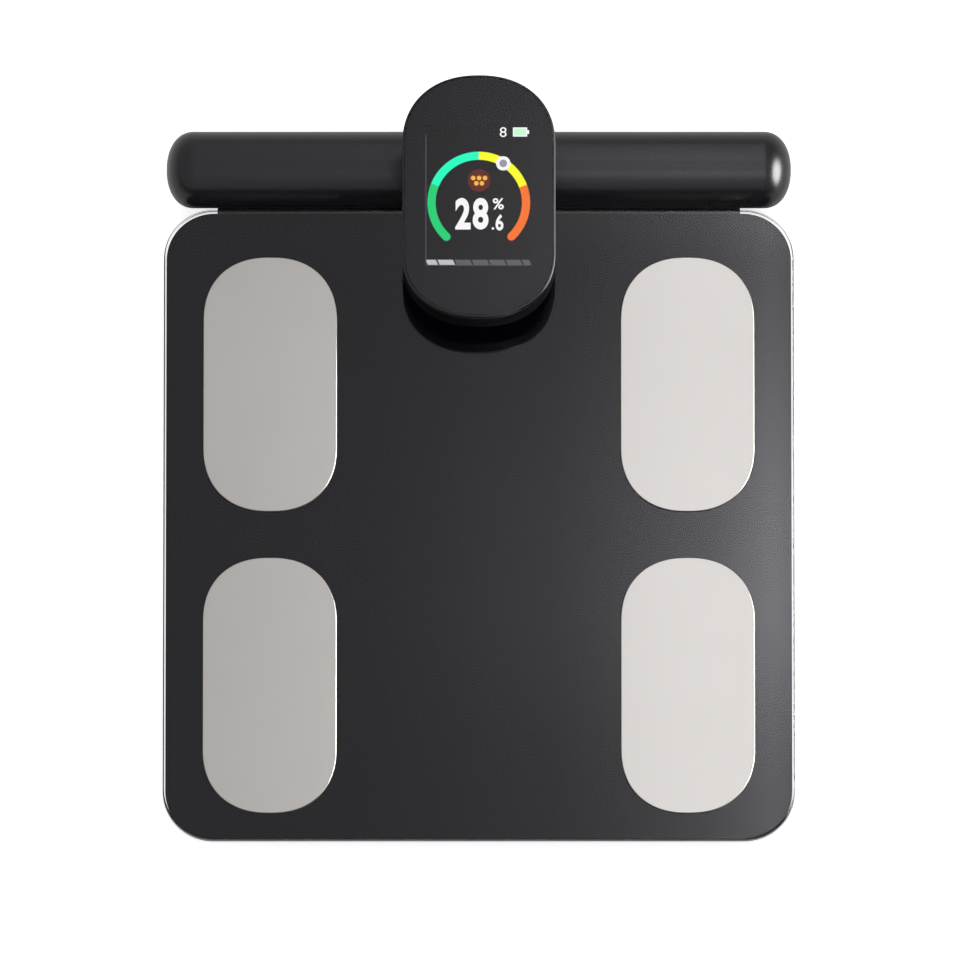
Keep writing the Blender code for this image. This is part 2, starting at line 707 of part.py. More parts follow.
def handle_dock(group):
    """Moulding behind the glass with a trough that the bar lies in, and a pocket for magnets from below."""
    radius = BAR_RADIUS + DOCK_CLEARANCE
    half_angle = math.acos((BAR_Z - DOCK_LIP_Z) / radius)
    trough = []
    for step in range(11):
        angle = half_angle * (1 - 2 * step / 10)
        trough.append((BAR_Y + radius * math.sin(angle), BAR_Z - radius * math.cos(angle)))
    front_y = TRAY_REAR_Y + GAP
    profile = [
        (front_y, DOCK_BOTTOM_Z + 0.0015),
        (front_y + 0.0015, DOCK_BOTTOM_Z),
        (DOCK_REAR_Y - 0.006, DOCK_BOTTOM_Z),
        (DOCK_REAR_Y - 0.002, DOCK_BOTTOM_Z + 0.002),
        (DOCK_REAR_Y, DOCK_BOTTOM_Z + 0.006),
        (DOCK_REAR_Y, DOCK_LIP_Z),
        *trough,
        (front_y, DOCK_LIP_Z),
    ]
    rings = [[(x, y, z) for y, z in profile] for x in (-DOCK_HALF_LENGTH, DOCK_HALF_LENGTH)]
    dock = make_object("handle_dock", skin(rings))
    cut(dock, block(
        "dock_pocket",
        (-DOCK_POCKET_HALF_LENGTH, BAR_Y - DOCK_POCKET_HALF_DEPTH, 0.0),
        (DOCK_POCKET_HALF_LENGTH, BAR_Y + DOCK_POCKET_HALF_DEPTH, DOCK_POCKET_TOP_Z),
    ))
    lead_hole_end_y = inlet_point(-CABLE_BEND)[0] + 0.003
    lead_hole = rod("lead_hole", CABLE_RADIUS + 0.0012, 0.118, lead_hole_end_y, (0, 0, CABLE_Z), "Y", 12)
    cut(dock, lead_hole, slanted_rod("gland_hole", 0.0042, -0.0052, 0.002))
    finish_piece(dock, "black_abs", group)

    cover = block(
        "dock_cover",
        (-DOCK_POCKET_HALF_LENGTH + GAP, BAR_Y - DOCK_POCKET_HALF_DEPTH + GAP, DOCK_BOTTOM_Z),
        (
            DOCK_POCKET_HALF_LENGTH - GAP,
            BAR_Y + DOCK_POCKET_HALF_DEPTH - GAP,
            DOCK_BOTTOM_Z + DOCK_COVER_THICKNESS,
        ),
    )
    finish_piece(cover, "black_abs", group)


def dock_magnets(group):
    bottom = DOCK_BOTTOM_Z + DOCK_COVER_THICKNESS + GAP
    for side, sign in (("left", -1), ("right", 1)):
        magnet = rod(f"dock_magnet_{side}", MAGNET_RADIUS, bottom, DOCK_POCKET_TOP_Z - GAP,
                     (sign * MAGNET_X, BAR_Y, 0), segments=16)
        finish_piece(magnet, "nickel", group)


def slanted_sleeve(name, profile):
    """A turned sleeve on the cable's line into the bar, its heights measured from the bar's skin."""
    y, z = inlet_point()
    item = turned(name, profile, (0, y, z), segments=16, loop=True)
    item.rotation_euler.x = -INLET_ANGLE
    return item


def cable_gland(group):
    gland = slanted_sleeve("cable_gland", [
        (0.0019, -0.0038), (0.0038, -0.0038), (0.0038, -0.0016), (0.0030, -0.0009), (0.0019, -0.0009),
    ])
    finish_piece(gland, "rubber", group)


# ---- Hand bar -------------------------------------------------------------------------------------------


def bar_solid(name, inset):
    """The bar's turned outline, made smaller all round by inset."""
    steps = 6
    profile = []
    for sign in (-1, 1):
        half = []
        for step in range(steps + 1):
            angle = math.radians(90) * step / steps
            reach = (BAR_END - inset) * math.cos(angle) ** (2 / BAR_END_POWER) if step < steps else 0
            radius = (BAR_RADIUS - inset) * math.sin(angle) ** (2 / BAR_END_POWER) if step else 0
            half.append((radius, sign * (BAR_HALF_LENGTH - BAR_END + reach)))
        profile += half if sign < 0 else half[::-1]
    return turned(name, profile, (0, BAR_Y, BAR_Z), "X", 24)


def arc_plate(name, radii, angles, span):
    """A strip of the bar's skin between two radii, two angles from straight down and two places along X."""
    steps = 5
    section = []
    for radius, order in ((radii[1], range(steps + 1)), (radii[0], range(steps, -1, -1))):
        for step in order:
            angle = angles[0] + (angles[1] - angles[0]) * step / steps
            section.append((BAR_Y + radius * math.sin(angle), BAR_Z - radius * math.cos(angle)))
    return make_object(name, skin([[(x, y, z) for y, z in section] for x in span]))


def electrode_places():
    places = []
    for side, sign_x in (("left", -1), ("right", 1)):
        for part, sign_y in (("finger", -1), ("palm", 1)):
            span = sorted((sign_x * ELECTRODE_INNER_X, sign_x * ELECTRODE_OUTER_X))
            angles = sorted((sign_y * ELECTRODE_LOW_ANGLE, sign_y * ELECTRODE_HIGH_ANGLE))
            places.append((f"{part}_electrode_{side}", span, angles))
    return places


def bar_shells(group):
    far = 0.2
    upper = bar_solid("handle_upper_shell", 0)
    lower = bar_solid("handle_lower_shell", 0)
    hollow = bar_solid("bar_hollow", BAR_WALL)
    below = block("below_seam", (-far, 0, -far), (far, far, BAR_Z + GAP / 2))
    above = block("above_seam", (-far, 0, BAR_Z - GAP / 2), (far, far, far))
    lead_way = rod("lead_way", 0.003, BAR_Z + BAR_RADIUS / 2, BAR_Z + BAR_RADIUS * 1.5, (0, RISER_Y, 0))
    cut(upper, hollow, below, lead_way)
    cut(lower, hollow, above, slanted_rod("inlet_hole", 0.0034, -0.003, 0.006))
    for name, span, angles in electrode_places():
        play = GAP / BAR_RADIUS
        pocket = arc_plate(
            f"{name}_pocket",
            (BAR_RADIUS - ELECTRODE_DEPTH - GAP, BAR_RADIUS + 0.001),
            (angles[0] - play, angles[1] + play),
            (span[0] - GAP, span[1] + GAP),
        )
        cut(lower, pocket)
    finish_piece(upper, "satin_black", group)
    finish_piece(lower, "satin_black", group)


def hand_electrodes(group):
    for name, span, angles in electrode_places():
        plate = arc_plate(name, (BAR_RADIUS - ELECTRODE_DEPTH, BAR_RADIUS), angles, span)
        finish_piece(plate, "satin_steel", group)


def keeper_plates(group):
    """Steel plates in the bar that the dock's magnets pull on."""
    bottom = BAR_Z - BAR_RADIUS + BAR_WALL + 0.0012
    for side, sign in (("left", -1), ("right", 1)):
        plate = block(
            f"keeper_plate_{side}",
            (sign * MAGNET_X - 0.008, BAR_Y - 0.005, bottom),
            (sign * MAGNET_X + 0.008, BAR_Y + 0.005, bottom + 0.0015),
        )
        finish_piece(plate, "zinc", group)


def handle_cable(group):
    """The bush where the cable enters the bar, and the cable on from there up into the display."""
    inlet = slanted_sleeve("cable_inlet", [
        (0.0019, 0.0004), (0.0031, 0.0004), (0.0031, 0.0034), (0.0046, 0.0034),
        (0.0046, 0.0044), (0.0019, 0.0044),
    ])
    finish_piece(inlet, "rubber", group)

    start_y, start_z = inlet_point(GAP)
    steepness = math.radians(90) - INLET_ANGLE
    bend_y = RISER_Y - RISER_BEND * (1 - math.sin(steepness))
    bend_z = start_z + (bend_y - start_y) * math.tan(steepness)
    points = []
    for step in range(4):
        share = step / 4
        points.append((0, start_y + (bend_y - start_y) * share, start_z + (bend_z - start_z) * share))
    for step in range(7):
        angle = steepness + INLET_ANGLE * step / 6
        y = bend_y + RISER_BEND * (math.sin(angle) - math.sin(steepness))
        z = bend_z + RISER_BEND * (math.cos(steepness) - math.cos(angle))
        points.append((0, y, z))
    points.append((0, RISER_Y, RISER_TOP_Z))
    finish_piece(tube("handle_lead", points), "cable_pvc", group)


# ---- Display --------------------------------------------------------------------------------------------


def face_z(y, depth):
    """Height of the tilted display face at y, less a depth below it."""
    return DISPLAY_FRONT_Z + (y - DISPLAY_FRONT_Y) * math.tan(DISPLAY_TILT) - depth


def display_plan(inset, steps=7):
    return outline(
        DISPLAY_HALF_WIDTH, DISPLAY_FRONT_Y, DISPLAY_REAR_Y, DISPLAY_HALF_WIDTH * 0.99,
        (DISPLAY_FRONT_END, DISPLAY_REAR_END), DISPLAY_POWER, steps, inset,
    )


def face_ring(inset, depth):
    return [(x, y, face_z(y, depth)) for x, y in display_plan(inset)]


def display_housing(group):
    seam = BEZEL_DEPTH + GAP
    rings = [
        level(display_plan(0.0060), DISPLAY_BOTTOM_Z),
        level(display_plan(0.0022), DISPLAY_BOTTOM_Z + 0.0010),
        level(display_plan(0.0004), DISPLAY_BOTTOM_Z + 0.0030),
        level(display_plan(0), DISPLAY_BOTTOM_Z + 0.0060),
        face_ring(0, seam),
        face_ring(0.0020, seam),
        level(display_plan(0.0020), DISPLAY_BOTTOM_Z + 0.0060),
        level(display_plan(0.0060), DISPLAY_BOTTOM_Z + 0.0030),
    ]
    housing = make_object("display_housing", skin(rings))
    cut(housing, rod("bar_saddle", BAR_RADIUS + GAP, -0.050, 0.050, (0, BAR_Y, BAR_Z), "X", 32))
    for side in (-1, 1):
        centre = (side * SCREW_X, SCREW_Y, 0)
        cut(housing, turned(f"screw_hole_{side + 1}", [
            (0, 0.040), (0.0029, 0.040), (0.0029, DISPLAY_BOTTOM_Z + 0.0017),
            (0.0016, DISPLAY_BOTTOM_Z + 0.0017), (0.0016, 0.050), (0, 0.050),
        ], centre, segments=12))
    finish_piece(housing, "satin_black", group)


def display_bezel(group):
    rings = [
        face_ring(0, BEZEL_DEPTH),
        face_ring(0, 0.0005),
        face_ring(0.0004, 0),
        face_ring(BEZEL_WIDTH, 0),
        face_ring(BEZEL_WIDTH, COVER_THICKNESS + GAP),
        face_ring(BEZEL_LEDGE, COVER_THICKNESS + GAP),
        face_ring(BEZEL_LEDGE, BEZEL_DEPTH),
    ]
    finish_piece(make_object("display_bezel", skin(rings, loop=True)), "gloss_black", group)


def display_glass(group):
    edge = BEZEL_WIDTH + GAP
    rings = [face_ring(edge, COVER_THICKNESS), face_ring(edge, 0.0002), face_ring(edge + 0.0002, 0)]
    finish_piece(make_object("display_glass", skin(rings)), "black_glass", group)


def lcd_panel(group):
    top = COVER_THICKNESS + GAP
    corners = [(-1, -1), (1, -1), (1, 1), (-1, 1)]
    plan = [(x * LCD_HALF_WIDTH, LCD_CENTRE_Y + y * LCD_HALF_LENGTH) for x, y in corners]
    rings = [[(x, y, face_z(y, depth)) for x, y in plan] for depth in (top + 0.0023, top)]
    finish_piece(make_object("lcd_panel", skin(rings)), "screen", group)


def display_board(group):
    top = 0.0080
    rings = [face_ring(0.0045, top + BOARD_THICKNESS), face_ring(0.0045, top)]
    board = make_object("display_board", skin(rings))
    for name, x, y, half_width, half_depth in (
        ("driver", 0.012, 0.088, 0.0050, 0.0050),
        ("ribbon_socket", -0.012, 0.105, 0.0090, 0.0025),
        ("lead_socket", -0.012, 0.130, 0.0050, 0.0030),
    ):
        under = face_z(y, top + BOARD_THICKNESS)
        add_to(board, block(
            name,
            (x - half_width, y - half_depth, under - 0.0030),
            (x + half_width, y + half_depth, under + 0.0008),
        ))
    finish_piece(board, "green_board", group)


def display_screws(group):
    for name, side in (("left", -1), ("right", 1)):
        head = DISPLAY_BOTTOM_Z + 0.0001
        screw = turned(f"display_screw_{name}", [
            (0, head), (0.0024, head), (0.0024, head + 0.0013), (0.0013, head + 0.0013),
            (0.0013, 0.0560), (0, 0.0572),
        ], (side * SCREW_X, SCREW_Y, 0), segments=12)
        finish_piece(screw, "zinc", group)


def main():
    clear_scene()
    platform = make_group("platform_body", (0, 0, 0))
    handle = make_group("handle_body", (0, BAR_Y, BAR_Z))
    reel = make_group("spool_body", (REEL_X, REEL_Y, CABLE_Z))
    door = make_group("door_body", (0, DOOR_HINGE_Y, (DOOR_BOTTOM_Z + DOOR_TOP_Z) / 2))
    button = make_group("button_body", (BUTTON_X, BOARD_CENTRE_Y, TRAY_BOTTOM_Z))

    for build in (
        glass_platform, sole_electrodes, base_tray, load_cell_feet, main_board, batteries, battery_contacts,
        reel_housing, reel_lid, reel_axle, reel_spring, cable_lead, handle_dock, dock_magnets, cable_gland,
    ):
        build(platform)
    for build in (
        bar_shells, hand_electrodes, keeper_plates, handle_cable, display_housing, display_bezel,
        display_glass, lcd_panel, display_board, display_screws,
    ):
        build(handle)
    spool(reel)
    battery_door(door)
    unit_button(button)


main()
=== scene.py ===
"""Looks of the bathroom scale: its glass, steel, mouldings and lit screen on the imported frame.

Metres, +Z up, the floor at z = 0. +X is the user's right and +Y points away from the user.
"""

import math

import bmesh
import bpy
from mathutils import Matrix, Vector


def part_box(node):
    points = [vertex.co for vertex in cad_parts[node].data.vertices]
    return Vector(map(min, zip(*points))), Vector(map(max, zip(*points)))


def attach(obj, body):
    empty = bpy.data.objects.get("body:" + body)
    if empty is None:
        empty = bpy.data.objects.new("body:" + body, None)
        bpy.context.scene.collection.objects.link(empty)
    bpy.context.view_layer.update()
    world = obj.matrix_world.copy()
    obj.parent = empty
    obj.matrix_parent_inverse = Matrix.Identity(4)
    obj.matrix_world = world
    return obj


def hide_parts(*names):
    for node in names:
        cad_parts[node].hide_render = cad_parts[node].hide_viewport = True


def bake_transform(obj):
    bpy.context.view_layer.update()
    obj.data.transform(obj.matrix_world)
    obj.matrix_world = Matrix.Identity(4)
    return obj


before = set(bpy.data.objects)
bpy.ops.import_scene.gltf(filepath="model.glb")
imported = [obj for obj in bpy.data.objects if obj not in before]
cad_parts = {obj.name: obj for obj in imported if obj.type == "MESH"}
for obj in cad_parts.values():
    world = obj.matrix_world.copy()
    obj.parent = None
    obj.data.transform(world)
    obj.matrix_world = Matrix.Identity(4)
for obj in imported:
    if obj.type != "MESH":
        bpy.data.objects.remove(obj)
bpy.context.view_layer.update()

# ---- Places that the frame gives -------------------------------------------------------------------------

GLASS_LOW, GLASS_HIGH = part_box("glass_platform")
TRAY_LOW, TRAY_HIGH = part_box("base_tray")
DOCK_LOW, DOCK_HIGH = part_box("handle_dock")
DOOR_LOW, DOOR_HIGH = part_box("battery_door")
BUTTON_LOW, BUTTON_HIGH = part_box("unit_button")
BAR_LOW, BAR_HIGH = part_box("handle_lower_shell")
CASE_LOW, CASE_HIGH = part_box("display_housing")
FRAME_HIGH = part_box("display_bezel")[1]
PANEL_LOW, PANEL_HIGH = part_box("lcd_panel")

CORNERS = ("front_left", "front_right", "rear_left", "rear_right")

GLASS_CORNER = 0.024
TRAY_CORNER = 0.018
FOOT_RADIUS = 0.018
CABLE_RADIUS = 0.0015
CABLE_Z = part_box("cable_lead")[0].z + CABLE_RADIUS

BAR_RADIUS = (BAR_HIGH.y - BAR_LOW.y) / 2
BAR_Y = (BAR_HIGH.y + BAR_LOW.y) / 2
BAR_Z = BAR_LOW.z + BAR_RADIUS
BAR_HALF_LENGTH = BAR_HIGH.x
BAR_DOME = 0.0132
BAR_WALL = 0.0024
SEAM_GAP = 0.0003

CASE_HALF_WIDTH = CASE_HIGH.x
CASE_FRONT_Y = CASE_LOW.y
CASE_REAR_Y = CASE_HIGH.y
CASE_FRONT_END = 0.0308
CASE_REAR_END = 0.0332
FACE_TILT = math.radians(5)
FACE_NORMAL = Vector((0, -math.sin(FACE_TILT), math.cos(FACE_TILT)))
FACE_FRONT_Z = FRAME_HIGH.z - (CASE_REAR_Y - CASE_FRONT_Y) * math.tan(FACE_TILT)
FRAME_DEPTH = 0.005
FRAME_WIDTH = 0.001
COVER_THICKNESS = 0.0012
SCREEN_Y = (PANEL_LOW.y + PANEL_HIGH.y) / 2


def superellipse(power):
    """The bevel profile that turns a square corner into a superellipse of this power."""
    return 2 ** (-2 / power)


def face_z(y, depth=0.0):
    return FACE_FRONT_Z + (y - CASE_FRONT_Y) * math.tan(FACE_TILT) - depth


# ---- Workshop: selecting and shaping ---------------------------------------------------------------------


def put_down():
    """Leaves edit mode with nothing selected."""
    if bpy.context.mode != "OBJECT":
        bpy.ops.object.mode_set(mode="OBJECT")
    bpy.ops.object.select_all(action="DESELECT")


def take_up(item):
    put_down()
    item.select_set(True)
    bpy.context.view_layer.objects.active = item


def settle(item):
    """Moves the object's place, turn and size into its mesh."""
    take_up(item)
    bpy.ops.object.transform_apply(location=True, rotation=True, scale=True)


def pick(item, kind, test):
    """Selects, in edit mode, the vertices, edges or faces whose middle and direction pass the test."""
    if bpy.context.mode != "EDIT_MESH":
        take_up(item)
        bpy.ops.object.mode_set(mode="EDIT")
    bpy.ops.mesh.select_mode(type=kind)
    bpy.ops.mesh.select_all(action="DESELECT")
    shape = bmesh.from_edit_mesh(item.data)
    if kind == "VERT":
        chosen = [v for v in shape.verts if test(v.co, v.normal)]
    elif kind == "EDGE":
        chosen = []
        for edge in shape.edges:
            start, end = (v.co for v in edge.verts)
            if test((start + end) / 2, (end - start).normalized()):
                chosen.append(edge)
    else:
        chosen = [f for f in shape.faces if test(f.calc_center_median(), f.normal)]
    for part in chosen:
        part.select_set(True)
    shape.select_flush_mode()
    bmesh.update_edit_mesh(item.data)


def pick_all(item, kind="FACE"):
    pick(item, kind, lambda place, normal: True)


def smooth(item, angle=32):
    """Shades rounded edges smooth and keeps the flats between them flat."""
    take_up(item)
    bpy.ops.object.shade_smooth_by_angle(angle=math.radians(angle))
    flats = item.modifiers.new("flats", "WEIGHTED_NORMAL")
    flats.weight = 100
    flats.keep_sharp = True
    bpy.ops.object.modifier_apply(modifier=flats.name)
    put_down()


def apply_all(item):
    take_up(item)
    for modifier in list(item.modifiers):
        bpy.ops.object.modifier_apply(modifier=modifier.name)


def block(name, low, high):
    """A box between two corners."""
    put_down()
    bpy.ops.mesh.primitive_cube_add(size=1, location=[(a + b) / 2 for a, b in zip(low, high)])
    item = bpy.context.active_object
    item.name = name
    item.scale = [b - a for a, b in zip(low, high)]
    settle(item)
    return item


def drum(name, radius, length, centre, axis="Z", sides=64):
    put_down()
    quarter = math.radians(90)
    turn = {"X": (0, quarter, 0), "Y": (-quarter, 0, 0), "Z": (0, 0, 0)}[axis]
    bpy.ops.mesh.primitive_cylinder_add(
        vertices=sides, radius=radius, depth=length, location=centre, rotation=turn
    )
    item = bpy.context.active_object
    item.name = name
    settle(item)
    return item


def round_uprights(item, reach, steps, power=2.0):
    """Rounds the upright edges of a block into corners that reach this far along both sides."""
    pick(item, "EDGE", lambda place, way: abs(way.z) > 0.9)
    bpy.ops.mesh.bevel(offset=reach, segments=steps, profile=superellipse(power), affect="EDGES")


def ease_rim(item, z, width, steps=3):
    """Rounds the edges that lie flat at one height."""
    pick(item, "EDGE", lambda place, way: abs(place.z - z) < 1e-5 and abs(way.z) < 0.1)
    bpy.ops.mesh.bevel(offset=width, segments=steps, profile=0.5, affect="EDGES")


def carve(item, *tools, operation="DIFFERENCE"):
    """Cuts the tools out of a piece, or joins them to it, and clears them away."""
    put_down()
    for tool in tools:
        modifier = item.modifiers.new(tool.name, "BOOLEAN")
        modifier.operation = operation
        modifier.object = tool
        modifier.solver = "EXACT"
    apply_all(item)
    for tool in tools:
        bpy.data.objects.remove(tool)


def first_point(name, place):
    """A piece of a single point, left selected in edit mode to be drawn out from there."""
    put_down()
    bpy.ops.mesh.primitive_plane_add(size=0.001, location=(0, 0, 0))
    item = bpy.context.active_object
    item.name = name
    pick_all(item, "VERT")
    bpy.ops.mesh.merge(type="CENTER")
    bpy.ops.transform.translate(value=place)
    return item


def turned(name, profile, centre, steps=48):
    """A piece turned about an upright axis from (radius, height) points."""
    x, y = centre
    item = first_point(name, (x + profile[0][0], y, profile[0][1]))
    for (radius, height), (next_radius, next_height) in zip(profile, profile[1:]):
        bpy.ops.mesh.extrude_region_move(
            TRANSFORM_OT_translate={"value": (next_radius - radius, 0, next_height - height)}
        )
    pick_all(item, "VERT")
    bpy.ops.mesh.spin(steps=steps, angle=math.radians(360), center=(x, y, 0), axis=(0, 0, 1))
    bpy.ops.mesh.select_all(action="SELECT")
    bpy.ops.mesh.remove_doubles(threshold=0.000002)
    bpy.ops.mesh.normals_make_consistent(inside=False)
    put_down()
    return item


def copy_at(item, name, offset):
    """A copy with its own mesh, moved by offset."""
    take_up(item)
    bpy.ops.object.duplicate()
    twin = bpy.context.active_object
    twin.name = name
    twin.location = offset
    settle(twin)
    return twin


def dress(item, finish, body, stands_for=()):
    """Gives a piece its finish, the body it moves with and the frame's pieces that it stands for."""
    put_down()
    if not item.data.materials:
        item.data.materials.append(finish)
    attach(item, body)
    if stands_for:
        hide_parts(*stands_for)
    return item


# ---- Effects that several finishes share -----------------------------------------------------------------


def effect(name, inputs, outputs):
    group = bpy.data.node_groups.new(name, "ShaderNodeTree")
    for label, kind, value in inputs:
        socket = group.interface.new_socket(name=label, in_out="INPUT", socket_type=kind)
        socket.default_value = value
    for label, kind in outputs:
        group.interface.new_socket(name=label, in_out="OUTPUT", socket_type=kind)
    return group, group.nodes.new("NodeGroupInput"), group.nodes.new("NodeGroupOutput")


def adjust(node, **values):
    """Sets inputs of a node by their labels, written with underscores for spaces."""
    for label, value in values.items():
        node.inputs[label.replace("_", " ")].default_value = value
    return node


def math_node(nodes, links, operation, first, second=None, third=None):
    node = nodes.new("ShaderNodeMath")
    node.operation = operation
    for socket, value in zip(node.inputs, (first, second, third)):
        if value is None:
            continue
        if isinstance(value, (int, float)):
            socket.default_value = value
        else:
            links.new(value, socket)
    return node.outputs["Value"]


def noise_field(nodes, links, place, scale, detail=3.0):
    field = nodes.new("ShaderNodeTexNoise")
    field.inputs["Detail"].default_value = detail
    links.new(place, field.inputs["Vector"])
    if isinstance(scale, (int, float)):
        field.inputs["Scale"].default_value = scale
    else:
        links.new(scale, field.inputs["Scale"])
    return field.outputs["Fac"]


def make_grain():
    """Fine texture of a moulded or blasted surface: a height, and a roughness that wavers with it."""
    group, given, result = effect(
        "Fine grain",
        [
            ("Grains per Metre", "NodeSocketFloat", 2500.0),
            ("Roughness", "NodeSocketFloat", 0.4),
            ("Waver", "NodeSocketFloat", 0.06),
        ],
        [("Roughness", "NodeSocketFloat"), ("Height", "NodeSocketFloat")],
    )
    nodes, links = group.nodes, group.links
    place = nodes.new("ShaderNodeTexCoord").outputs["Object"]
    fine = noise_field(nodes, links, place, given.outputs["Grains per Metre"], 2.0)
    broad = noise_field(nodes, links, place, 60.0, 3.0)
    fine_share = math_node(nodes, links, "MULTIPLY", fine, 0.4)
    mixed = math_node(nodes, links, "MULTIPLY_ADD", broad, 0.6, fine_share)
    centred = math_node(nodes, links, "SUBTRACT", mixed, 0.5)
    wavering = math_node(nodes, links, "MULTIPLY", centred, given.outputs["Waver"])
    roughness = math_node(nodes, links, "ADD", wavering, given.outputs["Roughness"])
    links.new(roughness, result.inputs["Roughness"])
    links.new(fine, result.inputs["Height"])
    return group


def make_tone():
    """A colour that drifts a little lighter and darker over the surface."""
    group, given, result = effect(
        "Tone drift",
        [
            ("Colour", "NodeSocketColor", (0.5, 0.5, 0.5, 1.0)),
            ("Drift", "NodeSocketFloat", 0.1),
            ("Patches per Metre", "NodeSocketFloat", 40.0),
        ],
        [("Colour", "NodeSocketColor")],
    )
    nodes, links = group.nodes, group.links
    place = nodes.new("ShaderNodeTexCoord").outputs["Object"]
    drift = noise_field(nodes, links, place, given.outputs["Patches per Metre"], 4.0)
    centred = math_node(nodes, links, "SUBTRACT", drift, 0.5)
    factor = math_node(nodes, links, "MULTIPLY_ADD", centred, given.outputs["Drift"], 1.0)
    scale = nodes.new("ShaderNodeVectorMath")
    scale.operation = "SCALE"
    links.new(given.outputs["Colour"], scale.inputs["Vector"])
    links.new(factor, scale.inputs["Scale"])
    links.new(scale.outputs["Vector"], result.inputs["Colour"])
    return group


def make_marks():
    """Faint smears that hands and cloths leave, as a mask."""
    group, given, result = effect(
        "Wiping marks",
        [("Smears per Metre", "NodeSocketFloat", 25.0), ("Amount", "NodeSocketFloat", 0.05)],
        [("Mask", "NodeSocketFloat")],
    )
    nodes, links = group.nodes, group.links
    stretch = nodes.new("ShaderNodeMapping")
    adjust(stretch, Scale=(1.0, 0.35, 1.0), Rotation=(0, 0, math.radians(35)))
    links.new(nodes.new("ShaderNodeTexCoord").outputs["Object"], stretch.inputs["Vector"])
    smear = noise_field(nodes, links, stretch.outputs["Vector"], given.outputs["Smears per Metre"], 5.0)
    lifted = math_node(nodes, links, "SUBTRACT", smear, 0.5)
    doubled = math_node(nodes, links, "MAXIMUM", math_node(nodes, links, "MULTIPLY", lifted, 2.0), 0.0)
    links.new(math_node(nodes, links, "MULTIPLY", doubled, given.outputs["Amount"]), result.inputs["Mask"])
    return group


def make_brush():
    """Fine lines that run along one direction of rolled and blasted steel."""
    group, given, result = effect(
        "Rolled lines",
        [("Lines", "NodeSocketVector", (3000.0, 60.0, 60.0))],
        [("Height", "NodeSocketFloat")],
    )
    nodes, links = group.nodes, group.links
    stretch = nodes.new("ShaderNodeMapping")
    links.new(nodes.new("ShaderNodeTexCoord").outputs["Object"], stretch.inputs["Vector"])
    links.new(given.outputs["Lines"], stretch.inputs["Scale"])
    links.new(noise_field(nodes, links, stretch.outputs["Vector"], 1.0, 2.0), result.inputs["Height"])
    return group


GRAIN = make_grain()
TONE = make_tone()
MARKS = make_marks()
BRUSH = make_brush()


# ---- Finishes --------------------------------------------------------------------------------------------


def new_finish(name):
    material = bpy.data.materials.new(name)
    material.use_nodes = True
    tree = material.node_tree
    return material, tree.nodes, tree.links, tree.nodes["Principled BSDF"]


def use(nodes, group, **values):
    node = nodes.new("ShaderNodeGroup")
    node.node_tree = group
    return adjust(node, **values)


def bump(nodes, links, shader, height, strength, distance):
    node = adjust(nodes.new("ShaderNodeBump"), Strength=strength, Distance=distance)
    links.new(height, node.inputs["Height"])
    links.new(node.outputs["Normal"], shader.inputs["Normal"])


def surface(name, colour, roughness, drift=0.12, waver=0.08, grains=2500.0, strength=0.15, metallic=0.0,
            smears=0.04, patches=40.0, gloss=0.5):
    """A finish with grain, a drifting tone and faint wiping marks."""
    material, nodes, links, shader = new_finish(name)
    tone = use(nodes, TONE, Colour=(*colour, 1.0), Drift=drift, Patches_per_Metre=patches)
    links.new(tone.outputs["Colour"], shader.inputs["Base Color"])
    grain = use(nodes, GRAIN, Grains_per_Metre=grains, Roughness=roughness, Waver=waver)
    marks = use(nodes, MARKS, Amount=smears)
    total = math_node(nodes, links, "ADD", grain.outputs["Roughness"], marks.outputs["Mask"])
    links.new(total, shader.inputs["Roughness"])
    bump(nodes, links, shader, grain.outputs["Height"], strength, 0.0001)
    adjust(shader, Metallic=metallic, Specular_IOR_Level=gloss)
    return material


def rolled_steel(name, colour, roughness, lines=(1400.0, 60.0, 60.0), strength=0.06):
    """Satin steel: a blasted grain over faint rolling lines."""
    material, nodes, links, shader = new_finish(name)
    tone = use(nodes, TONE, Colour=(*colour, 1.0), Drift=0.03, Patches_per_Metre=30.0)
    links.new(tone.outputs["Colour"], shader.inputs["Base Color"])
    grain = use(nodes, GRAIN, Grains_per_Metre=5000.0, Roughness=roughness, Waver=0.05)
    links.new(grain.outputs["Roughness"], shader.inputs["Roughness"])
    brush = use(nodes, BRUSH, Lines=lines)
    height = math_node(nodes, links, "ADD", brush.outputs["Height"], grain.outputs["Height"])
    bump(nodes, links, shader, height, strength, 0.00005)
    shader.inputs["Metallic"].default_value = 1.0
    return material


def clear_glass(name, tint, roughness, smears):
    """Clear glass with wiping marks that barely show."""
    material, nodes, links, shader = new_finish(name)
    tone = use(nodes, TONE, Colour=(*tint, 1.0), Drift=0.02, Patches_per_Metre=15.0)
    links.new(tone.outputs["Colour"], shader.inputs["Base Color"])
    marks = use(nodes, MARKS, Amount=smears)
    links.new(math_node(nodes, links, "ADD", marks.outputs["Mask"], roughness), shader.inputs["Roughness"])
    adjust(shader, Transmission_Weight=1.0, IOR=1.5)
    return material


def light_ink(name, colour, strength=1.0):
    """A lit field of the screen, with the fine grid of its cells."""
    material, nodes, links, shader = new_finish(name)
    cells = use(nodes, TONE, Colour=(*colour, 1.0), Drift=0.05, Patches_per_Metre=4000.0)
    links.new(cells.outputs["Colour"], shader.inputs["Emission Color"])
    dark = use(nodes, TONE, Colour=(0.002, 0.002, 0.002, 1.0), Drift=0.1, Patches_per_Metre=4000.0)
    links.new(dark.outputs["Colour"], shader.inputs["Base Color"])
    adjust(shader, Emission_Strength=strength, Roughness=0.5, Specular_IOR_Level=0.0)
    return material


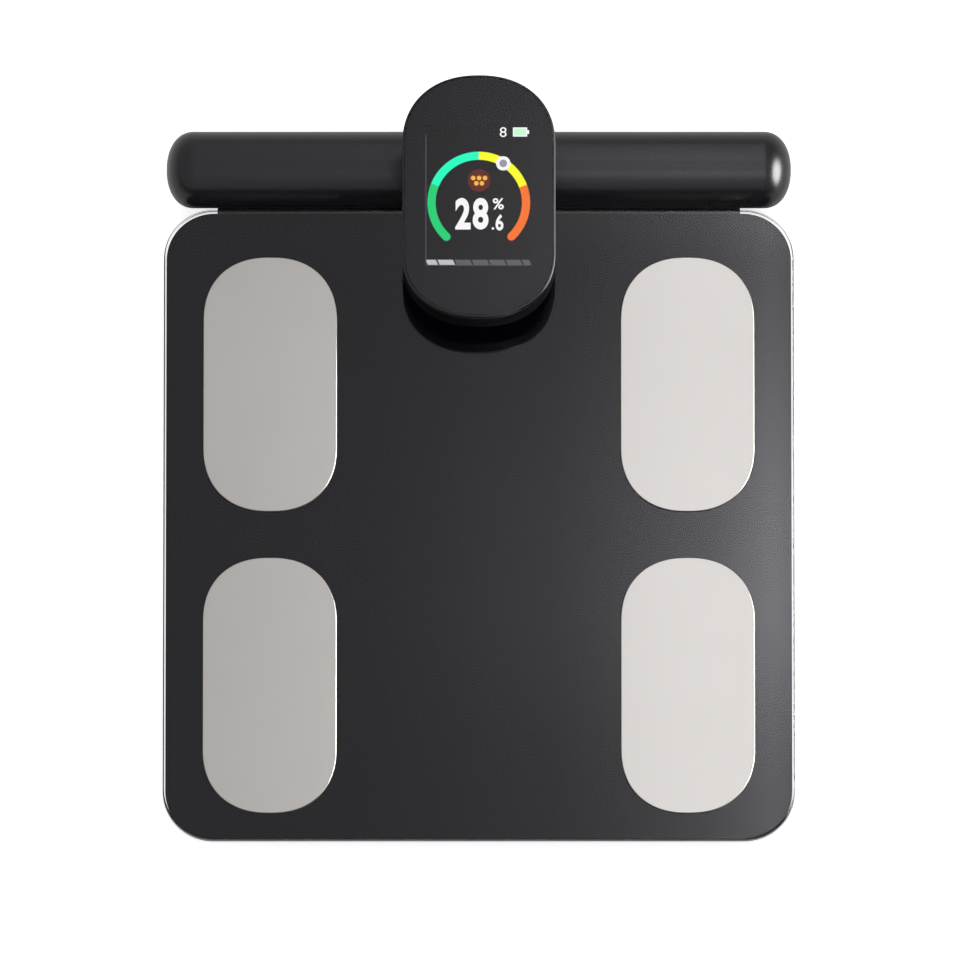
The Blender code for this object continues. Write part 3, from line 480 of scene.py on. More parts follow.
def srgb(red, green, blue):
    """Linear colour from 8-bit screen values, less the gleam that the cover glass lays over it."""
    gleam = 0.028
    tones = []
    for value in (red, green, blue):
        share = value / 255
        linear = share / 12.92 if share <= 0.04045 else ((share + 0.055) / 1.055) ** 2.4
        tones.append(max(linear - gleam, 0.0))
    return tuple(tones)


CLEAR_GLASS = clear_glass("clear glass", (0.97, 0.99, 0.98), 0.03, 0.02)
COVER_GLASS = clear_glass("display cover glass", (0.97, 0.98, 0.99), 0.03, 0.02)
BLACK_PRINT = surface("black print", (0.0034, 0.0028, 0.0088), 0.6, strength=0.02, smears=0.0, gloss=0.0)
BLACK_MASK = surface("black screen mask", (0.0034, 0.0030, 0.0080), 0.6, strength=0.02, smears=0.0, gloss=0.0)
GASKET = surface("gasket", (0.006, 0.006, 0.006), 0.6)
FOOT_STEEL = rolled_steel("satin foot steel", (0.535, 0.524, 0.484), 0.30)
HAND_STEEL = rolled_steel("satin hand steel", (0.60, 0.585, 0.57), 0.24, lines=(60.0, 1400.0, 1400.0))
SATIN_BLACK = surface("satin black bar", (0.0032, 0.0030, 0.0050), 0.28, strength=0.06)
CASE_BLACK = surface("matt black case", (0.0026, 0.0026, 0.0034), 0.45, strength=0.10, gloss=0.05)
FRAME_BLACK = surface("gloss black frame", (0.0045, 0.0045, 0.0050), 0.10, waver=0.03, strength=0.02)
GRAINED_BLACK = surface("grained black", (0.014, 0.014, 0.015), 0.48, strength=0.35, grains=1800.0)
RUBBER = surface("rubber", (0.020, 0.020, 0.021), 0.80, drift=0.25, strength=0.30, grains=1200.0)
CABLE_PVC = surface("cable sheath", (0.012, 0.012, 0.013), 0.45, strength=0.20)
SCREEN_DARK = surface("dark screen", (0.0010, 0.0010, 0.0016), 0.6, strength=0.02, smears=0.0, gloss=0.0)
ZINC = surface("zinc plate", (0.58, 0.58, 0.56), 0.38, metallic=1.0, drift=0.15, patches=120.0)
SPRING_STEEL = rolled_steel("spring steel", (0.38, 0.38, 0.40), 0.30, lines=(60.0, 60.0, 2500.0))
NICKEL = rolled_steel("nickel strip", (0.66, 0.63, 0.57), 0.25, lines=(60.0, 60.0, 2500.0))
BATTERY_WRAP = surface("battery wrap", (0.045, 0.15, 0.36), 0.32, drift=0.10)
BOARD_GREEN = surface("circuit board", (0.015, 0.14, 0.05), 0.40, drift=0.35, patches=600.0)
ACETAL = surface("natural acetal", (0.72, 0.71, 0.66), 0.42, drift=0.05)


# ---- Platform --------------------------------------------------------------------------------------------


def platform_glass():
    """The clear slab, and the black printed under it up to a narrow clear border."""
    slab = block("platform_slab", GLASS_LOW, GLASS_HIGH)
    round_uprights(slab, GLASS_CORNER, 20)
    for z in (GLASS_LOW.z, GLASS_HIGH.z):
        ease_rim(slab, z, 0.0009)
    smooth(slab)
    dress(slab, CLEAR_GLASS, "platform", ["glass_platform"])

    border = 0.0012
    low = (GLASS_LOW.x + border, GLASS_LOW.y + border, GLASS_LOW.z + 0.00005)
    high = (GLASS_HIGH.x - border, GLASS_HIGH.y - border, GLASS_LOW.z + 0.00020)
    ink = block("platform_print", low, high)
    round_uprights(ink, GLASS_CORNER - border, 20)
    smooth(ink)
    dress(ink, BLACK_PRINT, "platform")


def foot_plate(name, centre, grow, low_z, high_z, rim):
    """A plate of the foot electrodes' outline, a rectangle with nearly round ends."""
    low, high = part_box("sole_electrode_front_left")
    half_width = (high.x - low.x) / 2 + grow
    half_length = (high.y - low.y) / 2 + grow
    x, y = centre
    plate = block(name, (x - half_width, y - half_length, low_z), (x + half_width, y + half_length, high_z))
    round_uprights(plate, half_width * 0.985, 24, 2.28)
    ease_rim(plate, high_z, rim)
    smooth(plate)
    return plate


def foot_plates():
    first_low, first_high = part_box("sole_electrode_front_left")
    centre = ((first_low.x + first_high.x) / 2, (first_low.y + first_high.y) / 2)
    glass_top = GLASS_HIGH.z
    plate = foot_plate("foot_plate", centre, 0, glass_top + 0.0003, first_high.z, 0.00028)
    ring = foot_plate("foot_plate_gasket", centre, 0.00028, glass_top, glass_top + 0.00028, 0.0001)
    for corner in CORNERS:
        low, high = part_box(f"sole_electrode_{corner}")
        offset = ((low.x + high.x) / 2 - centre[0], (low.y + high.y) / 2 - centre[1], 0)
        twin = copy_at(plate, f"foot_plate_{corner}", offset)
        dress(twin, FOOT_STEEL, "platform", [f"sole_electrode_{corner}"])
        dress(copy_at(ring, f"foot_gasket_{corner}", offset), GASKET, "platform")
    for first in (plate, ring):
        bpy.data.objects.remove(first)


# ---- Hand bar --------------------------------------------------------------------------------------------

SIDES = ((-1, -1), (-1, 1), (1, -1), (1, 1))
SKIN_MIDDLE = math.radians(33)  # from straight down, on either side
SKIN_HALF = math.radians(21)
SKIN_X = 0.088
SKIN_HALF_LENGTH = 0.040
INLET_TILT = math.radians(47)  # how far the cable's way into the bar leans from upright
INLET_Y = BAR_Y - BAR_RADIUS * math.sin(INLET_TILT)
INLET_Z = BAR_Z - BAR_RADIUS * math.cos(INLET_TILT)


def slanted_drum(name, radius, start, end):
    """A drum on the cable's way into the bar, from start to end along it from the bar's skin."""
    item = drum(name, radius, end - start, (0, 0, (start + end) / 2), sides=32)
    item.rotation_euler = (-INLET_TILT, 0, 0)
    item.location = (0, INLET_Y, INLET_Z)
    settle(item)
    return item


def skin_plate(name, side_x, side_y, grow, depth, proud):
    """A plate with rounded corners that follows the bar's skin, let in by depth."""
    half = BAR_RADIUS * math.sin(SKIN_HALF) + grow
    low = (side_x * SKIN_X - SKIN_HALF_LENGTH - grow, -half, -BAR_RADIUS - proud - 0.001)
    high = (side_x * SKIN_X + SKIN_HALF_LENGTH + grow, half, -BAR_RADIUS / 2)
    plate = block(name, low, high)
    round_uprights(plate, 0.0035 + grow, 6)
    put_down()
    plate.rotation_euler = (side_y * SKIN_MIDDLE, 0, 0)
    plate.location = (0, BAR_Y, BAR_Z)
    settle(plate)
    centre = (0, BAR_Y, BAR_Z)
    carve(plate, drum(f"{name}_outside", BAR_RADIUS + proud, 0.3, centre, "X", 96), operation="INTERSECT")
    carve(plate, drum(f"{name}_inside", BAR_RADIUS - depth, 0.3, centre, "X", 96))
    return plate


def bar_form(name):
    """The bar's whole outline: a cylinder whose ends are low domes."""
    flat = BAR_HALF_LENGTH - BAR_DOME
    item = drum(name, BAR_RADIUS, 2 * (flat + BAR_RADIUS), (0, BAR_Y, BAR_Z), "X", 96)
    tip = flat + BAR_RADIUS
    pick(item, "EDGE", lambda place, way: abs(abs(place.x) - tip) < 1e-5 and abs(way.x) < 0.1)
    bpy.ops.mesh.bevel(offset=BAR_RADIUS * 0.995, segments=22, profile=superellipse(2.2), affect="EDGES")
    for sign in (-1, 1):
        pick(item, "VERT", lambda place, normal: sign * place.x > flat + 1e-5)
        middle = (sign * flat, BAR_Y, BAR_Z)
        bpy.ops.transform.resize(value=(BAR_DOME / BAR_RADIUS, 1, 1), center_override=middle)
        pick(item, "FACE", lambda place, normal: sign * place.x > BAR_HALF_LENGTH - 1e-6)
        bpy.ops.mesh.merge(type="COLLAPSE")
    return item


def bar_shell(name, side):
    """Half of the bar with its wall and an eased lip: above the seam for side 1, below it for side -1."""
    item = bar_form(name)
    seam = BAR_Z + side * SEAM_GAP / 2
    pick_all(item)
    bpy.ops.mesh.bisect(
        plane_co=(0, BAR_Y, seam), plane_no=(0, 0, 1),
        clear_inner=side > 0, clear_outer=side < 0, threshold=1e-6,
    )
    put_down()
    wall = item.modifiers.new("wall", "SOLIDIFY")
    wall.thickness = BAR_WALL
    wall.offset = -1
    apply_all(item)

    def outer_lip(place, way):
        across = abs(place.y - BAR_Y) > BAR_RADIUS - 1e-4 or abs(place.x) > BAR_HALF_LENGTH - BAR_DOME
        outside = abs(place.y - BAR_Y) > BAR_RADIUS - BAR_WALL or abs(place.x) > BAR_HALF_LENGTH - BAR_WALL
        return abs(place.z - seam) < 1e-5 and abs(way.z) < 0.1 and across and outside

    pick(item, "EDGE", outer_lip)
    bpy.ops.mesh.bevel(offset=0.0002, segments=2, profile=0.5, affect="EDGES")
    return item


def hand_bar():
    upper = bar_shell("bar_upper_shell", 1)
    smooth(upper)
    dress(upper, SATIN_BLACK, "handle", ["handle_upper_shell"])
    lower = bar_shell("bar_lower_shell", -1)
    put_down()
    pockets = [skin_plate(f"pocket_{x}_{y}", x, y, SEAM_GAP, 0.0009, 0.001) for x, y in SIDES]
    carve(lower, *pockets, slanted_drum("inlet_way", 0.0034, -0.003, 0.006))
    smooth(lower)
    dress(lower, SATIN_BLACK, "handle", ["handle_lower_shell"])


def electrode_name(side_x, side_y):
    return f"{'finger' if side_y < 0 else 'palm'}_electrode_{'left' if side_x < 0 else 'right'}"


def hand_electrodes():
    for side_x, side_y in SIDES:
        name = electrode_name(side_x, side_y)
        plate = skin_plate(f"{name}_plate", side_x, side_y, 0, 0.0006, 0)
        smooth(plate, 40)
        dress(plate, HAND_STEEL, "handle", [name])


# ---- Display ---------------------------------------------------------------------------------------------


def capsule(name, inset, low_z, depth):
    """The display's plan as a solid, from low_z up to a level of its tilted face."""
    half = CASE_HALF_WIDTH - inset
    reach = half * 0.997
    front_flat = CASE_FRONT_Y + CASE_FRONT_END
    rear_flat = CASE_REAR_Y - CASE_REAR_END
    item = block(name, (-half, front_flat - reach, low_z), (half, rear_flat + reach, FRAME_HIGH.z + 0.02))
    round_uprights(item, reach, 26, 2.22)
    for flat, sign, end in ((front_flat, -1, CASE_FRONT_END), (rear_flat, 1, CASE_REAR_END)):
        pick(item, "VERT", lambda place, normal: sign * (place.y - flat) > 1e-5)
        bpy.ops.transform.resize(value=(1, (end - inset) / reach, 1), center_override=(0, flat, 0))
    cut_level(item, depth, keep_below=True)
    return item


def cut_level(item, depth, keep_below):
    """Cuts a piece at a level of the tilted face, and closes the cut."""
    pick_all(item)
    bpy.ops.mesh.bisect(
        plane_co=(0, CASE_FRONT_Y, FACE_FRONT_Z - depth), plane_no=FACE_NORMAL, use_fill=True,
        clear_outer=keep_below, clear_inner=not keep_below, threshold=1e-6,
    )


def ease_face_rim(item, depth, width, steps=3):
    def at_level(place, way):
        return abs(place.z - face_z(place.y, depth)) < 1e-5 and abs(way.dot(FACE_NORMAL)) < 0.1

    pick(item, "EDGE", at_level)
    bpy.ops.mesh.bevel(offset=width, segments=steps, profile=0.5, affect="EDGES")


def display_case():
    """The case under the frame, rounded below, with a saddle for the bar."""
    seam = FRAME_DEPTH + SEAM_GAP
    case = capsule("display_case", 0, CASE_LOW.z, seam)
    ease_rim(case, CASE_LOW.z, 0.0052, 6)
    ease_face_rim(case, seam, 0.0002, 2)
    saddle = drum("saddle", BAR_RADIUS + SEAM_GAP, 0.1, (0, BAR_Y, BAR_Z), "X", 96)
    put_down()
    carve(case, saddle)
    smooth(case)
    dress(case, CASE_BLACK, "handle", ["display_housing"])


def display_frame():
    """The thin frame round the cover glass, with the black mask as its floor."""
    ring = capsule("display_frame", 0, CASE_LOW.z, 0)
    cut_level(ring, FRAME_DEPTH, keep_below=False)
    ease_face_rim(ring, 0, 0.0005, 3)
    ease_face_rim(ring, FRAME_DEPTH, 0.0002, 2)
    pick(ring, "FACE", lambda place, normal: normal.dot(FACE_NORMAL) > 0.9999)
    bpy.ops.mesh.inset(thickness=FRAME_WIDTH - 0.0005)
    bpy.ops.mesh.extrude_region_move(
        TRANSFORM_OT_translate={"value": (0, 0, -COVER_THICKNESS - SEAM_GAP)}
    )
    put_down()
    ring.data.materials.append(FRAME_BLACK)
    ring.data.materials.append(BLACK_MASK)
    floor_depth = COVER_THICKNESS + SEAM_GAP
    for face in ring.data.polygons:
        on_floor = abs(face.center.z - face_z(face.center.y, floor_depth)) < 1e-4
        if on_floor and face.normal.dot(FACE_NORMAL) > 0.999:
            face.material_index = 1
    smooth(ring)
    dress(ring, FRAME_BLACK, "handle", ["display_bezel"])

    cover = capsule("display_cover", FRAME_WIDTH + 0.00012, CASE_LOW.z, 0)
    bonded = 0.00005  # how far the glass reaches into the mask, with no air between them
    cut_level(cover, floor_depth + bonded, keep_below=False)
    ease_face_rim(cover, 0, 0.00015, 2)
    smooth(cover)
    dress(cover, COVER_GLASS, "handle", ["display_glass"])


# ---- The screen's picture --------------------------------------------------------------------------------

# It is drawn flat in millimetres from the screen's middle, then laid under the cover glass.
SCREEN_HALF_WIDTH = 25.0
SCREEN_HALF_LENGTH = 33.4
RING_CENTRE = (0.0, -3.63)
RING_RADII = (20.5, 24.4)
INK_DEPTH = 0.00140  # below the face
LIT = {
    ink: light_ink(f"lit {ink}", srgb(*tone))
    for ink, tone in {
        "green": (48, 210, 124),
        "aqua": (38, 255, 195),
        "yellow": (255, 255, 40),
        "orange": (253, 122, 54),
        "white": (252, 252, 252),
        "grey": (159, 155, 169),
        "brown": (104, 54, 40),
        "pale_orange": (254, 186, 79),
        "pale_green": (202, 255, 213),
        "bar_grey": (198, 197, 203),
        "dim_grey": (102, 101, 107),
        "glow": (92, 92, 99),
    }.items()
}


def ink_piece(name, ink, height):
    """The active flat piece, in its ink, at a height in micrometres over the screen."""
    item = bpy.context.active_object
    item.name = name
    item.location.z += height * 0.001
    settle(item)
    item.data.materials.clear()
    item.data.materials.append(LIT[ink])
    return item


def ink_sector(name, ink, start, end, height):
    """A piece of the ring gauge between two angles in degrees."""
    inner, outer = RING_RADII
    x, y = RING_CENTRE
    angle = math.radians(start)
    way = Vector((math.cos(angle), math.sin(angle), 0))
    item = first_point(name, Vector((x, y, 0)) + way * inner)
    bpy.ops.mesh.extrude_region_move(TRANSFORM_OT_translate={"value": way * (outer - inner)})
    pick_all(item, "VERT")
    steps = max(int(abs(end - start) / 3), 2)
    bpy.ops.mesh.spin(steps=steps, angle=math.radians(start - end), center=(x, y, 0), axis=(0, 0, 1))
    put_down()
    return ink_piece(name, ink, height)


def ink_disc(name, ink, centre, radius, height):
    put_down()
    bpy.ops.mesh.primitive_circle_add(vertices=40, radius=radius, fill_type="NGON", location=(*centre, 0))
    return ink_piece(name, ink, height)


def ink_field(name, ink, box, height, slant=0.0):
    """A rectangle (left, bottom, right, top), or with slant one whose top leans by that much."""
    left, bottom, right, top = box
    put_down()
    bpy.ops.mesh.primitive_plane_add(size=1, location=((left + right) / 2, (bottom + top) / 2, 0))
    item = bpy.context.active_object
    item.scale = (right - left, top - bottom, 1)
    settle(item)
    if slant:
        pick(item, "VERT", lambda place, normal: place.y > (bottom + top) / 2)
        bpy.ops.transform.translate(value=(slant, 0, 0))
        put_down()
    bpy.context.view_layer.objects.active = item
    return ink_piece(name, ink, height)


def ink_sign(name, ink, sign, box, height, weight=0.02):
    """A digit or sign, fitted into a box (left, bottom, right, top)."""
    put_down()
    bpy.ops.object.text_add()
    item = bpy.context.active_object
    item.data.body = sign
    item.data.offset = weight
    item.data.resolution_u = 8
    bpy.ops.object.convert(target="MESH")
    item = bpy.context.active_object
    xs = [v.co.x for v in item.data.vertices]
    ys = [v.co.y for v in item.data.vertices]
    left, bottom, right, top = box
    item.scale = ((right - left) / (max(xs) - min(xs)), (top - bottom) / (max(ys) - min(ys)), 1)
    item.location = (left - min(xs) * item.scale.x, bottom - min(ys) * item.scale.y, 0)
    settle(item)
    bpy.context.view_layer.objects.active = item
    return ink_piece(name, ink, height)


def ring_point(angle, radius):
    x, y = RING_CENTRE
    return x + radius * math.cos(math.radians(angle)), y + radius * math.sin(math.radians(angle))


def screen_signs():
    """The ring gauge, its marker, the number and the small signs."""
    middle = sum(RING_RADII) / 2
    band = (RING_RADII[1] - RING_RADII[0]) / 2
    signs = [
        ink_sector("gauge_green", "green", 226.8, 158, 10),
        ink_sector("gauge_aqua", "aqua", 158, 90, 10),
        ink_sector("gauge_yellow", "yellow", 90, 20.6, 10),
        ink_sector("gauge_orange", "orange", 20.6, -46.3, 10),
        ink_disc("gauge_start", "green", ring_point(226.8, middle), band, 9),
        ink_disc("gauge_end", "orange", ring_point(-46.3, middle), band, 9),
        ink_disc("marker", "white", (11.60, 15.18), 3.42, 20),
        ink_disc("marker_core", "grey", (11.60, 15.18), 1.81, 30),
        ink_disc("drop_field", "brown", (0.14, 7.02), 5.42, 10),
        ink_sign("tens", "white", "2", (-11.2, -16.5, -3.9, -1.4), 10, 0.036),
        ink_sign("ones", "white", "8", (-2.9, -16.5, 4.6, -1.4), 10, 0.036),
        ink_sign("point", "white", ".", (6.1, -16.6, 7.3, -15.4), 10, 0.0),
        ink_sign("tenths", "white", "6", (7.95, -17.0, 11.7, -9.2), 10, 0.030),
        ink_sign("percent", "white", "%", (6.6, -6.9, 11.9, -1.5), 10, 0.018),
        ink_sign("loop", "white", "8", (9.95, 27.8, 13.2, 32.5), 10, 0.0),
        ink_field("cell_outline", "white", (16.2, 28.0, 23.0, 32.4), 10),
        ink_field("cell_charge", "pale_green", (16.75, 28.55, 22.45, 31.85), 20),
        ink_field("cell_nub", "white", (23.0, 29.3, 23.9, 31.1), 10),
        ink_field("edge_left", "glow", (-25.3, -33.2, -24.9, 29.0), 10),
        ink_field("edge_foot", "glow", (-25.3, -33.8, 24.9, -33.4), 10),
    ]
    drops = ((-2.66, 8.16), (0.14, 8.16), (2.95, 8.16), (-1.19, 5.63), (1.47, 5.63))
    for index, centre in enumerate(drops):
        signs.append(ink_disc(f"drop_{index}", "pale_orange", centre, 1.1, 20))
    joints = [-25.0, -19.4, -11.3, -3.2, 4.9, 12.95, 20.6, 24.9]
    for index, (left, right) in enumerate(zip(joints, joints[1:])):
        ink = "bar_grey" if index < 2 else "dim_grey"
        gap = 0.40
        box = (left + gap + 0.5, -33.4, right - gap + 0.5, -31.0)
        signs.append(ink_field(f"step_{index}", ink, box, 10, slant=-1.2))
    return signs


def screen_picture():
    """Joins the signs into one printed-thin piece and lays it just under the cover glass."""
    signs = screen_signs()
    put_down()
    for sign in signs:
        sign.select_set(True)
    bpy.context.view_layer.objects.active = signs[0]
    bpy.ops.object.join()
    picture = bpy.context.active_object
    picture.name = "screen_picture"
    lay_on_face(picture)
    dress(picture, LIT["white"], "handle")

    width, length = SCREEN_HALF_WIDTH, SCREEN_HALF_LENGTH
    back = block("screen_field", (-width, -length, -0.09), (width, length, 0))
    ease_rim(back, 0, 0.03, 1)
    put_down()
    lay_on_face(back)
    dress(back, SCREEN_DARK, "handle", ["lcd_panel"])


def lay_on_face(item):
    """Brings a piece drawn flat in millimetres to its place under the tilted face."""
    item.scale = (0.001, 0.001, 0.001)
    item.rotation_euler = (FACE_TILT, 0, 0)
    item.location = (0, SCREEN_Y, face_z(SCREEN_Y, INK_DEPTH))
    settle(item)
    put_down()


# ---- Tray, feet, door and button -------------------------------------------------------------------------

TRAY_WALL = 0.002
BAY_WALL = 0.0015
BAY_HALF_WIDTH = 0.025
BAY_FRONT_Y = -0.049
BAY_REAR_Y = 0.006
BAY_TOP_Z = 0.0195
DOOR_TOP_Z = 0.0078
DOOR_HINGE_SIDE_Y = -0.0456
TAB_X = 0.0114
TAB_HALF_WIDTH = 0.0017
THROUGH = 0.004  # half the length of a drum that cuts through a wall
CLEAR = 0.01  # how far a cutter stands out of the piece


def button_place():
    return (BUTTON_LOW.x + BUTTON_HIGH.x) / 2, (BUTTON_LOW.y + BUTTON_HIGH.y) / 2


def foot_place(corner):
    low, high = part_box(f"foot_cup_{corner}")
    return (low.x + high.x) / 2, (low.y + high.y) / 2


def tray():
    """The moulded tray under the glass, open on top, with its openings and the battery bay."""
    floor_z = TRAY_LOW.z + TRAY_WALL
    body = block("tray_body", TRAY_LOW, TRAY_HIGH)
    round_uprights(body, TRAY_CORNER, 14)
    ease_rim(body, TRAY_LOW.z, 0.0028, 5)
    room_low = (TRAY_LOW.x + TRAY_WALL, TRAY_LOW.y + TRAY_WALL, floor_z)
    room_high = (TRAY_HIGH.x - TRAY_WALL, TRAY_HIGH.y - TRAY_WALL, TRAY_HIGH.z + CLEAR)
    room = block("tray_room", room_low, room_high)
    round_uprights(room, TRAY_CORNER - TRAY_WALL, 14)
    ease_rim(room, floor_z, 0.002, 3)
    carve(body, room)

    half, front_y, rear_y, top_z = BAY_HALF_WIDTH, BAY_FRONT_Y, BAY_REAR_Y, BAY_TOP_Z
    wall = BAY_WALL
    shell_low = (-half - wall, front_y - wall, floor_z - 0.001)
    shell = block("bay_shell", shell_low, (half + wall, rear_y + wall, top_z + wall))
    carve(body, shell, operation="UNION")
    bay = block("bay_room", (-half, front_y, floor_z), (half, rear_y, top_z))
    door_low = (DOOR_LOW.x - SEAM_GAP, DOOR_LOW.y - 2 * SEAM_GAP, TRAY_LOW.z - TRAY_WALL)
    door_way = block("door_way", door_low, (DOOR_HIGH.x + SEAM_GAP, rear_y, floor_z + TRAY_WALL))
    ways = []
    for corner in CORNERS:
        x, y = foot_place(corner)
        ways.append(drum(f"foot_way_{corner}", FOOT_RADIUS + 0.001, 2 * THROUGH, (x, y, TRAY_LOW.z)))
    x, y = button_place()
    ways.append(drum("button_way", 0.0049, 2 * THROUGH, (x, y, TRAY_LOW.z), sides=32))
    ways.append(drum("cable_way", 0.0024, 2 * THROUGH, (0, TRAY_HIGH.y, CABLE_Z), "Y", 24))
    carve(body, bay, door_way, *ways)
    smooth(body)
    dress(body, GRAINED_BLACK, "platform", ["base_tray"])


def feet():
    """The foot cups and their rubber pads with rings that grip the floor."""
    first_x, first_y = foot_place("front_left")
    cup = turned("foot_cup", [
        (0, 0.0033), (0.0166, 0.0033), (0.0173, 0.0035), (0.0178, 0.0040), (0.018, 0.0047),
        (0.018, 0.0066), (0.0176, 0.0068), (0.0176, 0.0072), (0.018, 0.0074), (0.018, 0.0092),
        (0.0177, 0.0095), (0.005, 0.0095), (0.005, 0.0120), (0.0047, 0.0123), (0, 0.0123),
    ], (first_x, first_y))
    pad = turned("foot_pad", [
        (0, 0.0005), (0.0038, 0.0005), (0.0044, 0), (0.0066, 0), (0.0072, 0.0005), (0.0092, 0.0005),
        (0.0098, 0), (0.0120, 0), (0.0126, 0.0005), (0.0136, 0.0005), (0.0142, 0), (0.0150, 0.0002),
        (0.0157, 0.0008), (0.016, 0.0016), (0.016, 0.0030), (0, 0.0030),
    ], (first_x, first_y))
    for corner in CORNERS:
        x, y = foot_place(corner)
        for first, name, finish, slot in (
            (cup, "cup", GRAINED_BLACK, "black_abs"),
            (pad, "pad", RUBBER, "rubber"),
        ):
            twin = copy_at(first, f"scale_foot_{name}_{corner}", (x - first_x, y - first_y, 0))
            smooth(twin)
            dress(twin, finish, "platform", [f"foot_{name}_{corner}"])
    for first in (cup, pad):
        bpy.data.objects.remove(first)


def unit_button():
    """The unit button, dished for a fingertip, with the flange that keeps it in."""
    cap = turned("unit_button_cap", [
        (0, 0.0067), (0.0022, 0.0065), (0.0034, 0.0063), (0.0040, 0.0063), (0.0044, 0.0066),
        (0.0045, 0.0070), (0.0045, 0.0083), (0.006, 0.0083), (0.006, 0.0092), (0, 0.0092),
    ], button_place())
    smooth(cap)
    dress(cap, SATIN_BLACK, "unit_button", ["unit_button"])


def battery_door():
    """The battery door with its two tabs and the ridges for a thumb."""
    panel_low = (DOOR_LOW.x, DOOR_HINGE_SIDE_Y, DOOR_LOW.z)
    panel = block("battery_door_panel", panel_low, (DOOR_HIGH.x, DOOR_HIGH.y, DOOR_TOP_Z))
    round_uprights(panel, 0.0012, 4)
    ease_rim(panel, DOOR_LOW.z, 0.0004, 2)
    grooves = []
    for index in range(3):
        y = DOOR_HIGH.y - 0.0054 - index * 0.003
        groove = block(f"thumb_groove_{index}", (-0.008, y - 0.0006, 0.004), (0.008, y + 0.0006, 0.0067))
        round_uprights(groove, 0.00055, 4)
        grooves.append(groove)
    put_down()
    carve(panel, *grooves)
    tabs = []
    for side in (-1, 1):
        left, right = side * TAB_X - TAB_HALF_WIDTH, side * TAB_X + TAB_HALF_WIDTH
        tabs.append(block(f"tab_root_{side}", (left, -0.0454, 0.0073), (right, -0.0439, 0.0096)))
        tabs.append(block(f"tab_hook_{side}", (left, -0.0480, 0.0084), (right, -0.0441, 0.0096)))
    carve(panel, *tabs, operation="UNION")
    smooth(panel)
    dress(panel, GRAINED_BLACK, "battery_door", ["battery_door"])


# ---- Dock and cable --------------------------------------------------------------------------------------

def dock():
    """The trough behind the glass that the bar lies in, and the cover under its magnets."""
    body = block("dock_body", DOCK_LOW, DOCK_HIGH)
    pick(body, "EDGE", lambda place, way: abs(way.z) > 0.9 and place.y > DOCK_HIGH.y - 1e-4)
    bpy.ops.mesh.bevel(offset=0.008, segments=10, profile=0.5, affect="EDGES")
    pick(body, "EDGE", lambda place, way: abs(place.z - DOCK_LOW.z) < 1e-5 and place.y > DOCK_LOW.y + 1e-4)
    bpy.ops.mesh.bevel(offset=0.0025, segments=5, profile=0.5, affect="EDGES")
    put_down()
    trough = drum("trough", BAR_RADIUS + 0.0006, 0.3, (0, BAR_Y, BAR_Z), "X", 96)
    cover_low, cover_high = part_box("dock_cover")
    pocket_low = (cover_low.x - SEAM_GAP, cover_low.y - SEAM_GAP, 0)
    pocket = block("magnet_pocket", pocket_low, (cover_high.x + SEAM_GAP, cover_high.y + SEAM_GAP, 0.0082))
    round_uprights(pocket, 0.0023, 5)
    put_down()
    lead_way = drum("lead_way", 0.0027, 0.016, (0, 0.1245, CABLE_Z), "Y", 32)
    carve(body, trough, pocket, lead_way, slanted_drum("gland_way", 0.0042, -0.0052, 0.002))
    smooth(body)
    dress(body, GRAINED_BLACK, "platform", ["handle_dock"])

    cover = block("dock_cover_plate", cover_low, cover_high)
    round_uprights(cover, 0.002, 5)
    ease_rim(cover, cover_low.z, 0.0003, 2)
    smooth(cover)
    dress(cover, GRAINED_BLACK, "platform", ["dock_cover"])


def cable_route():
    """From the reel's exit, up through the gland into the bar, and on up into the display."""
    exit_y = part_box("cable_lead")[0].y
    riser_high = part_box("handle_lead")[1]
    riser_y = riser_high.y - CABLE_RADIUS
    steep = math.radians(90) - INLET_TILT
    bend, riser_bend = 0.006, 0.008
    straight = (INLET_Z - CABLE_Z - bend * (1 - math.cos(steep))) / math.sin(steep)
    bend_y = INLET_Y - straight * math.cos(steep) - bend * math.sin(steep)
    route = [(exit_y + (bend_y - exit_y) * step / 6, CABLE_Z) for step in range(6)]
    for step in range(7):
        angle = steep * step / 6
        route.append((bend_y + bend * math.sin(angle), CABLE_Z + bend * (1 - math.cos(angle))))
    for share in (-4, -2, -1, 0, 1, 2, 4):
        distance = share * SEAM_GAP
        route.append((INLET_Y + distance * math.cos(steep), INLET_Z + distance * math.sin(steep)))
    turn_y = riser_y - riser_bend * (1 - math.sin(steep))
    turn_z = INLET_Z + (turn_y - INLET_Y) * math.tan(steep)
    for step in range(7):
        angle = steep + INLET_TILT * step / 6
        y = turn_y + riser_bend * (math.sin(angle) - math.sin(steep))
        route.append((y, turn_z + riser_bend * (math.cos(steep) - math.cos(angle))))
    route.append((riser_y, riser_high.z))
    return route


def handle_cable():
    """The cable in one piece, laid along its route with the bar at rest; the real cable draws out of the reel
    as the bar lifts.
    """
    route = cable_route()
    curve = bpy.data.curves.new("handle_cable", "CURVE")
    curve.dimensions = "3D"
    curve.bevel_depth = CABLE_RADIUS
    curve.bevel_resolution = 4
    curve.use_fill_caps = True
    spline = curve.splines.new("POLY")
    spline.points.add(len(route) - 1)
    for target, (y, z) in zip(spline.points, route):
        target.co = (0, y, z, 1)
    item = bpy.data.objects.new("handle_cable", curve)
    bpy.context.scene.collection.objects.link(item)
    take_up(item)
    bpy.ops.object.convert(target="MESH")
    cable = bpy.context.active_object
    smooth(cable, 60)
    cable.data.materials.append(CABLE_PVC)
    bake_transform(cable)
    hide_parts("cable_lead", "handle_lead")


# ---- Hidden and carried-over pieces ----------------------------------------------------------------------

